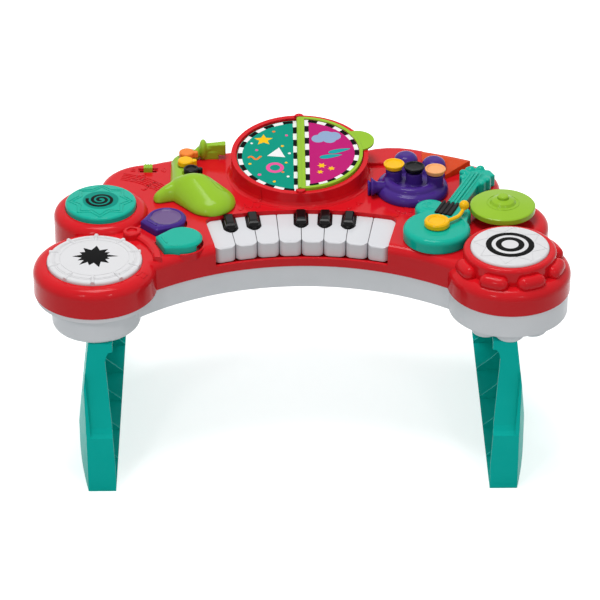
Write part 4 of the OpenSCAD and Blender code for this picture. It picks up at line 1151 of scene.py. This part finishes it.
@dataclass
class FlipBook(Part):
    """Tilted round book on its turret, with a page that turns."""

    finishes = {
        CARD_TEAL: ("book_card_left",),
        CARD_DARK: ("book_card_right",),
        CARD_MAGENTA: ("page_card",),
        LIME: ("page_frame",),
    }
    centre: Triple = (0.0, 94.0, 288.0)
    tilt: float = 6.0
    card_r: float = 72.6
    card_top: float = -2.5
    card_edge: float = 2.6
    page_r: float = 69.2
    page_top: float = 1.5
    page_foot: float = -0.5
    page_edge: float = 6.2
    border_w: float = 5.4

    def build(self) -> None:
        """Print the cards and both sides of the page."""
        shift = Matrix.Translation(Vector(self.centre) * MM)
        place = shift @ Matrix.Rotation(math.radians(self.tilt), 4, "X")
        # The underside of the page is turned over about the spine
        middle = Matrix.Translation((0, 0, (self.page_top + self.page_foot) * MM))
        under = place @ (middle @ Matrix.Rotation(math.pi, 4, "Y"))
        card = (self.card_r, self.card_edge, self.card_top, "table", place)
        page = (self.page_r, self.page_edge, self.page_top, "page")
        left, right = Face("left_card", -1, *card), Face("right_card", 1, *card)
        front, back = Face("page", 1, *page, place), Face("page_back", -1, *page, under)
        for face in (left, right, front, back):
            face.border(self.border_w)
        self.print_left(left)
        self.print_page(front)
        self.print_hidden(back, right)

    def print_left(self, face: Face) -> None:
        """Print shapes and confetti.

        Args:
            face: the left card.
        """
        wave = [(-60 + i * 1.2, 3.2 * math.sin(i * 0.62) - 4) for i in range(14)]
        for colour, ink, shape, dots in (
            ("yellow", INK_YELLOW, Drawing().star(-42, 33, (11.5,) * 5, 5.2, 90),
             ((-20, 20, 1.8), (-58, -16, 1.8), (-30, -52, 1.8), (-16, -14, 1.6))),
            ("pink", INK_PINK, Drawing().ring(-29, -24, 6.0, 10.4),
             ((-15, 42, 1.8), (-50, 12, 1.8), (-47, -38, 2.2))),
            ("white", INK_WHITE, Drawing().polygon([(-38, 0), (-17, -3), (-24, 17)]),
             ((-12, 5, 1.8), (-56, 26, 1.6), (-14, -42, 1.8))),
            ("orange", INK_ORANGE, Drawing().stroke(wave, 2.6), ((-30, 50, 1.8), (-20, -33, 1.6))),
        ):  # fmt: skip
            for x, y, r in dots:
                shape.ring(x, y, 0, r)
            face.print(colour, ink, shape)

    def print_page(self, face: Face) -> None:
        """Print a cloud, leaves and stars.

        Args:
            face: upper side of the page.
        """
        puffs = ((-9, -3, 8.0), (0, 3, 9.5), (9, 2, 8.5), (4, -4, 8.0))
        face.print("cloud", INK_BLUE, Drawing().polygon(cloud(31, 32, puffs)))
        face.print("leaf", INK_LEAF, Drawing().polygon(leaf(46, 4, 18)).polygon(leaf(36, -7, 12)))
        stars = Drawing().star(25, -26, (5.5,) * 6, 2.7, 0).star(36, -32, (4.6,) * 6, 2.3, 15)
        face.print("star", INK_YELLOW, stars.star(23, -39, (4.2,) * 6, 2.0, 10))

    def print_hidden(self, back: Face, card: Face) -> None:
        """Print the underside of the page and the card that lies below it.

        Args:
            back: underside of the page.
            card: the right card.
        """
        hills = Drawing().ring(-34, -30, 0, 15, 10, 170).ring(-24, -32, 0, 12, 10, 170)
        back.print("hill", INK_GREEN, hills)
        back.print("sun", INK_YELLOW, Drawing().ring(-40, 26, 0, 8).ring(-22, 6, 5, 7.5))
        fish, bubbles = Drawing(), Drawing()
        for x, y, a in ((34, 26, 8), (42, -6, -14), (26, -34, 20)):
            fish.polygon(leaf(x, y, a)).star(x - 11, y, (5, 5, 5), 2, a)
        card.print("fish", INK_ORANGE, fish)
        for x, y, r in ((50, 20, 2.4), (54, 8, 1.6), (22, 10, 2.0), (30, -14, 2.6), (46, -30, 1.8)):
            bubbles.ring(x, y, r - 0.8, r)
        card.print("bubble", INK_WHITE, bubbles)


@dataclass
class Guitar(Part):
    """Turquoise guitar with pegs, a ribbed pickup and a strum knob with its lever."""

    skin: tuple[float, int] = (0.9, 3)
    lever_skin: tuple[float, int] = (0.7, 3)
    place: Triple = (152.0, -58.0, 262.0)
    turn: float = -23.0
    body_h: float = 16.0
    head_cut: Triple = (14, 144.5, 0)
    head_side: Triple = (0.684, 0.729, 0)
    # Place across and along the neck, and radius
    pegs: tuple[Triple, ...] = (
        (-14.6, 129.0, 4.8), (-9.0, 140.0, 4.8), (0.5, 145.5, 4.8), (13.6, 112.0, 4.2), (16.8, 122.5, 4.2),
    )  # fmt: skip
    peg_low: float = 5.0
    peg_top: float = 18.5
    peg_round: float = 0.7
    strings: tuple[float, ...] = (-5.6, -1.6, 2.4, 6.4)
    strings_end: float = 131.0
    knob: tuple[Point, ...] = (
        (4.7, 2.0), (4.7, 16.4), (13.4, 16.4), (14.4, 17.4), (14.4, 21.6), (13.2, 23.6), (11.4, 24.0),
        (9.8, 23.4), (8.6, 22.0), (3.0, 21.8),
    )  # fmt: skip
    lever: tuple[Triple, ...] = (
        (10, 6, 20.8), (14.5, 13.5, 20.8), (17.5, 19.5, 20.8),
        (18.6, 23.5, 20.9), (19.0, 30, 22.0), (19.0, 36, 24.5),
    )  # fmt: skip
    lever_r: float = 2.3
    lever_ball: Triple = (19.0, 37.0, 27.0)
    lever_ball_r: float = 5.8
    pickup: tuple[float, ...] = (-13.0, 26.5, 8.0, 52.0)
    ribs: int = 4
    rib_margin: float = 2.6
    rib_half: float = 1.5

    def at(self, x: float, y: float, z: float) -> Vector:
        """Turn a point of the guitar's own frame into the table's, both in millimetres."""
        return Vector(self.place) + Matrix.Rotation(math.radians(self.turn), 3, "Z") @ Vector((x, y, z))

    def build(self) -> None:
        """Shape the body with its pegs, the ribbed pickup and the knob with its lever."""
        bm = copy_of("guitar_body")
        cut_away(bm, self.at(*self.head_cut), self.at(*self.head_side) - Vector(self.place))
        for x, y, radius in self.pegs:
            flat = radius * self.peg_round
            for z in (self.peg_low, self.peg_top - flat):
                ball(bm, self.at(x, y, z), (radius, radius, flat))
            spot = self.at(x, y, 0)
            low, high = self.place[2] + self.peg_low, self.place[2] + self.peg_top - flat
            join(bm, turned(spot.x, spot.y, [(radius, low), (radius, high)], 32))
        body = piece_from(bm, "guitar_body_smooth", TEAL, "table", smooth=True)
        soft_skin(*self.skin, body)
        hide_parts("guitar_body")
        self.build_pickup()
        self.build_knob()

    def build_pickup(self) -> None:
        """Lay the black pickup with its ribs on the body, and the strings on the neck."""
        x0, y0, x1, y1 = self.pickup
        plan = Matrix.Translation(Vector(self.place) * MM) @ Matrix.Rotation(math.radians(self.turn), 4, "Z")
        ground = LevelGround(self.body_h)
        plate, ribs, strings = Drawing().box(x0, y0, x1, y1), Drawing(), Drawing()
        laid = plate.stamp("pickup_plate", BLACK, ground, "table", 1.0, "key_black", plan, 40, 0.4)
        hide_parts("guitar_pickup")
        for i in range(self.ribs):
            x = x0 + self.rib_margin + i * (x1 - x0 - 2 * self.rib_margin) / (self.ribs - 1)
            ribs.box(x - self.rib_half, y0 - 1, x + self.rib_half, y1 + 3)
        ribs.stamp("pickup_ribs", BLACK, ground, "table", 2.2, "key_black", plan, 40, 0.7)
        for x in self.strings:
            strings.box(x - 1.0, y1 + 2, x + 1.0, self.strings_end)
        strings.stamp("neck_strings", TEAL, ground, "table", 1.3, "teal_gloss", plan, 60, 0.5)

    def build_knob(self) -> None:
        """Turn the dished knob and bend its lever."""
        x, y, z = self.place
        knob = turned(x, y, [(radius, z + h) for radius, h in self.knob])
        strummer = piece_from(knob, "strum_knob_dished", YELLOW, "strummer", bevel=0.4)
        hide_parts("guitar_strummer")
        lever = tube([(self.at(*p), self.lever_r) for p in self.lever])
        ball(lever, self.at(*self.lever_ball), (self.lever_ball_r,) * 3)
        whole = piece_from(lever, "strum_lever", YELLOW, "strummer", smooth=True)
        soft_skin(*self.lever_skin, whole)


@dataclass
class Horn(Part):
    """Violet horn with three valves."""

    finishes = {PURPLE: ("horn_body",)}
    skin: tuple[float, int] = (0.9, 5)
    flare_skin: tuple[float, int] = (0.8, 3)
    column_top: float = 288.0
    caps: tuple[tuple[float, float, Finish, str], ...] = (
        (108.0, 56.0, YELLOW, "yellow"),
        (131.0, 49.0, BLACK, "key_black"),
        (155.0, 43.0, PEACH, "peach"),
    )
    flare: tuple[tuple[Triple, float], ...] = (
        ((81.0, 41.0, 273.4), 10.2), ((82.4, 41.0, 273.4), 10.9), ((84.5, 41.2, 273.2), 9.0),
        ((88.0, 41.6, 272.6), 6.8), ((94.0, 43.0, 272.0), 6.0), ((102.0, 46.0, 271.0), 6.0),
    )  # fmt: skip
    cap_profile: tuple[Point, ...] = (
        (4.6, -12.0), (4.6, 3.4), (9.8, 3.4), (9.8, 2.4), (10.2, 2.2), (11.0, 4.4), (12.0, 6.4), (12.0, 7.4),
        (11.5, 8.0), (10.4, 8.0), (9.6, 7.3), (8.8, 6.5), (4.0, 6.2),
    )  # fmt: skip

    def build(self) -> None:
        """Let the horn's coil, ears and columns flow together, and turn its dished caps."""
        soft_skin(*self.skin, "horn_body")
        flare = piece_from(tube(self.flare), "horn_flare", PURPLE, "table", smooth=True)
        soft_skin(*self.flare_skin, flare)
        profile = [(r, self.column_top + z) for r, z in self.cap_profile]
        for i, (x, y, finish, slot) in enumerate(self.caps, start=1):
            cap = piece_from(turned(x, y, profile), f"dished_cap_{i}", finish, f"valve_{i}", bevel=0.3)
            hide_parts(f"valve_cap_{i}")


@dataclass
class Sax(Part):
    """Lime sax with a smooth bell and three key paddles."""

    finishes = {ORANGE: ("sax_key_1",), YELLOW: ("sax_key_2",), BLACK: ("sax_key_3",)}
    bell_skin: tuple[float, int] = (1.2, 14)
    neck_skin: tuple[float, int] = (0.8, 3)
    crease: tuple[tuple[Point, ...], ...] = (
        ((-116, 48), (-104, 43), (-93, 35), (-86, 25)),
        ((-108, 43), (-100, 34), (-95, 27), (-86, 25)),
    )
    place: Triple = (-108.0, 22.0, 262.0)
    # Centre and half sizes of each ball under the tail's skin
    tail: tuple[tuple[Triple, Triple], ...] = (
        ((-53.0, 10.0, 0.0), (8.6, 8.0, 12.5)),
        ((-45.0, 14.0, 0.0), (11.5, 9.5, 17.0)),
        ((-32.0, 23.0, 0.0), (13.0, 13.6, 21.0)),
    )
    cut_x: float = -13.2
    # The pipe starts behind the first key, clear of its stem and paddle
    pipe: tuple[tuple[Triple, float], ...] = (
        ((-18.0, 105.0, 0.5), 6.2), ((-13.0, 110.0, 6.0), 6.4), ((-8.5, 112.2, 10.0), 6.4),
        ((-4.0, 113.0, 12.0), 6.2), ((5.0, 114.0, 13.0), 5.4),
    )  # fmt: skip
    ring: tuple[Triple, Triple] = ((-5.0, 112.6, 11.0), (5.2, 9.0, 12.8))
    # Place along, half width, and low and high edge of the mouthpiece
    mouth: tuple[tuple[float, ...], ...] = (
        (1.0, 3.6, 7.5, 17.5), (8.0, 4.0, 6.5, 18.5), (15.0, 4.6, 5.2, 19.0), (21.5, 5.0, 4.6, 19.6),
    )  # fmt: skip
    foot: Triple = (-8.0, 13.0, 4.6)
    foot_span: Point = (-1.0, 9.0)

    def build(self) -> None:
        """Round the bell and its broad tail into one form, and lift the mouthpiece on its bent pipe."""
        beak = bmesh.new()
        for centre, radii in self.tail:
            ball(beak, [a + b for a, b in zip(self.place, centre)], radii)
        hull = bmesh.ops.convex_hull(beak, input=list(beak.verts))
        bmesh.ops.delete(beak, geom=list({*hull["geom_interior"], *hull["geom_unused"]}), context="VERTS")
        cut_away(beak, self.place, (0, 0, -1))
        bm = copy_of("sax_bell")
        join(bm, beak)
        bell = piece_from(bm, "sax_bell_smooth", LIME, "table", smooth=True)
        soft_skin(*self.bell_skin, bell)
        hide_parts("sax_bell")
        neck = piece_from(self.neck(), "sax_neck_smooth", LIME, "table", smooth=True)
        soft_skin(*self.neck_skin, neck)
        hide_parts("sax_neck")
        crease = Drawing()
        for line in self.crease:
            crease.stroke(line, 1.0)
        crease.stamp("sax_bell_crease", LIME, MouldGround(bell), "table", 0.35, "lime", bevel=0.2)

    def neck(self) -> BMesh:
        """Join the seat of the keys with a bent pipe, an oval collar and a flared mouthpiece on its foot.

        Returns:
            A mesh of overlapping closed shapes.
        """
        x, y, z = self.place
        middle = y + self.ring[0][1]
        bm = copy_of("sax_neck")
        cut_away(bm, (x + self.cut_x, y, z), (1, 0, 0))
        pipe = tube([(Vector(self.place) + Vector(p), radius) for p, radius in self.pipe])
        mouth = []
        for mx, half, low, high in self.mouth:
            corners = ((-half, low), (half, low), (half, high), (-half, high))
            mouth.append([Vector((x + mx, middle + side, z + h)) for side, h in corners])
        x0, x1, half = self.foot
        plan = ((x0, -half), (x1, -half), (x1, half), (x0, half))
        foot = [[Vector((x + px, middle + py, z + h)) for px, py in plan] for h in self.foot_span]
        ball(bm, [a + b for a, b in zip(self.place, self.ring[0])], self.ring[1])
        join(bm, pipe, loft(mouth), loft(foot))
        return bm


@dataclass
class Works(Part):
    """Light window, switch and the parts inside."""

    finishes = {
        LIME: ("volume_switch",),
        BOARD: ("circuit_board",),
        SPEAKER: ("speaker",),
        CELL: ("batteries",),
    }
    window_cut: Triple = (166.0, 76.0, 0.0)
    window_side: Triple = (0.62, -0.785, 0.0)

    def build(self) -> None:
        """Clear the lower corner of the window beside the neck of the guitar."""
        pane = copy_of("light_window")
        cut_away(pane, self.window_cut, self.window_side)
        clear = piece_from(pane, "light_window_pane", WINDOW, "table", 0.8)
        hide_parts("light_window")


# ---------------------------------------------------------------- studio


@dataclass
class Studio:
    """Pale floor, soft light and the camera."""

    elevation: float = 30.5
    azimuth: float = -0.8
    distance: float = 3.6
    target: Triple = (0.0, -0.089, 0.25)
    lens: float = 193.0
    sensor: float = 36.0
    shift: Point = (-2 / 600, -38 / 600)
    far_clip: float = 20.0
    room_light: float = 0.42
    bounce: str = "#c4c4c4"
    floor_lift: float = 0.6
    floor_size: float = 6.0
    # Name, place in metres, width in metres and power in watts of each soft box
    lamps: tuple[tuple[str, Triple, float, float], ...] = (
        ("overhead_softbox", (-0.2, 0.1, 2.7), 1.1, 36),
        ("left_softbox", (-1.1, -2.1, 1.9), 0.3, 6.5),
        ("right_softbox", (1.0, -2.2, 1.9), 0.3, 4),
    )

    def camera(self) -> None:
        """Place the camera."""
        data = bpy.data.cameras.new("camera")
        data.lens = self.lens
        data.sensor_width = self.sensor
        data.clip_end = self.far_clip
        data.shift_x, data.shift_y = self.shift
        cam = put("camera", data)
        up, turn = math.radians(self.elevation), math.radians(self.azimuth)
        toward = Vector((math.sin(turn) * math.cos(up), -math.cos(turn) * math.cos(up), math.sin(up)))
        cam.location = Vector(self.target) + toward * self.distance
        cam.rotation_euler = (-toward).to_track_quat("-Z", "Y").to_euler()
        bpy.context.scene.camera = cam

    def light(self) -> None:
        """Hang the soft boxes, each facing the table."""
        for name, place, size, power in self.lamps:
            data = bpy.data.lights.new(name, "AREA")
            data.size = size
            data.energy = power
            lamp = put(name, data)
            lamp.location = place
            lamp.rotation_euler = (Vector(self.target) - Vector(place)).to_track_quat("-Z", "Y").to_euler()

    def seen_directly(self, tree: Tree) -> Node:
        """Tell rays that show a thing as itself from rays that only carry its light.

        Args:
            tree: the tree that takes the nodes.

        Returns:
            A node whose output is 1 for camera, mirror and clear-plastic rays.
        """
        path = add_node(tree, "LightPath")
        rays = {0: (path, "Is Camera Ray"), 1: (path, "Is Glossy Ray")}
        mirror = add_node(tree, "Math", rays, operation="MAXIMUM")
        rays = {0: (mirror, 0), 1: (path, "Is Transmission Ray")}
        return add_node(tree, "Math", rays, operation="MAXIMUM")

    def world(self) -> None:
        """Light the room softly, and show it white."""
        world = bpy.data.worlds.new("studio")
        bpy.context.scene.world = world
        tree = cleared_tree(world)
        seen = self.seen_directly(tree)
        strength = add_node(tree, "MapRange", {0: (seen, 0), 3: self.room_light, 4: 1.0})
        back = add_node(tree, "Background", {"Color": (1, 1, 1, 1), "Strength": (strength, 0)})
        add_node(tree, "OutputWorld", {"Surface": (back, 0)})

    def floor(self) -> None:
        """Lay the pale floor, whose bounce is dimmed so that the sides of the table keep their shade."""
        bm = bmesh.new()
        bmesh.ops.create_grid(bm, x_segments=1, y_segments=1, size=self.floor_size)
        mesh = bpy.data.meshes.new("floor")
        bm.to_mesh(mesh)
        bm.free()
        floor = put("floor", mesh)
        mat = bpy.data.materials.new("white_paper_sweep")
        tree = cleared_tree(mat)
        seen = self.seen_directly(tree)
        tones = {0: (seen, 0), 6: linear(self.bounce), 7: (1.0, 1.0, 1.0, 1.0)}
        tone = add_node(tree, "Mix", tones, data_type="RGBA")
        paper = add_node(tree, "BsdfDiffuse", {"Color": (tone, 2)})
        lift = add_node(tree, "Math", {0: (seen, 0), 1: self.floor_lift}, operation="MULTIPLY")
        glow = add_node(tree, "Emission", {"Strength": (lift, 0)})
        both = add_node(tree, "AddShader", {0: (paper, 0), 1: (glow, 0)})
        add_node(tree, "OutputMaterial", {"Surface": (both, 0)})
        mesh.materials.append(mat)

    def build(self) -> None:
        """Set up the whole studio."""
        self.camera()
        self.light()
        self.world()
        self.floor()
        bpy.context.scene.view_settings.view_transform = "Standard"


PARTS = (
    TopShell, Base, BigDrum, SmallDrum, Tambourine, Cymbal, Castanets,
    Keyboard, FlipBook, Guitar, Horn, Sax, Works,
)  # fmt: skip


def main() -> None:
    """Dress the table, add its decoration and set up the studio."""
    Studio().build()
    for kind in PARTS:
        part = kind()
        part.build()
        part.dress()
        log.info("finished %s", kind.__name__)


if __name__ == "__main__":
    main()
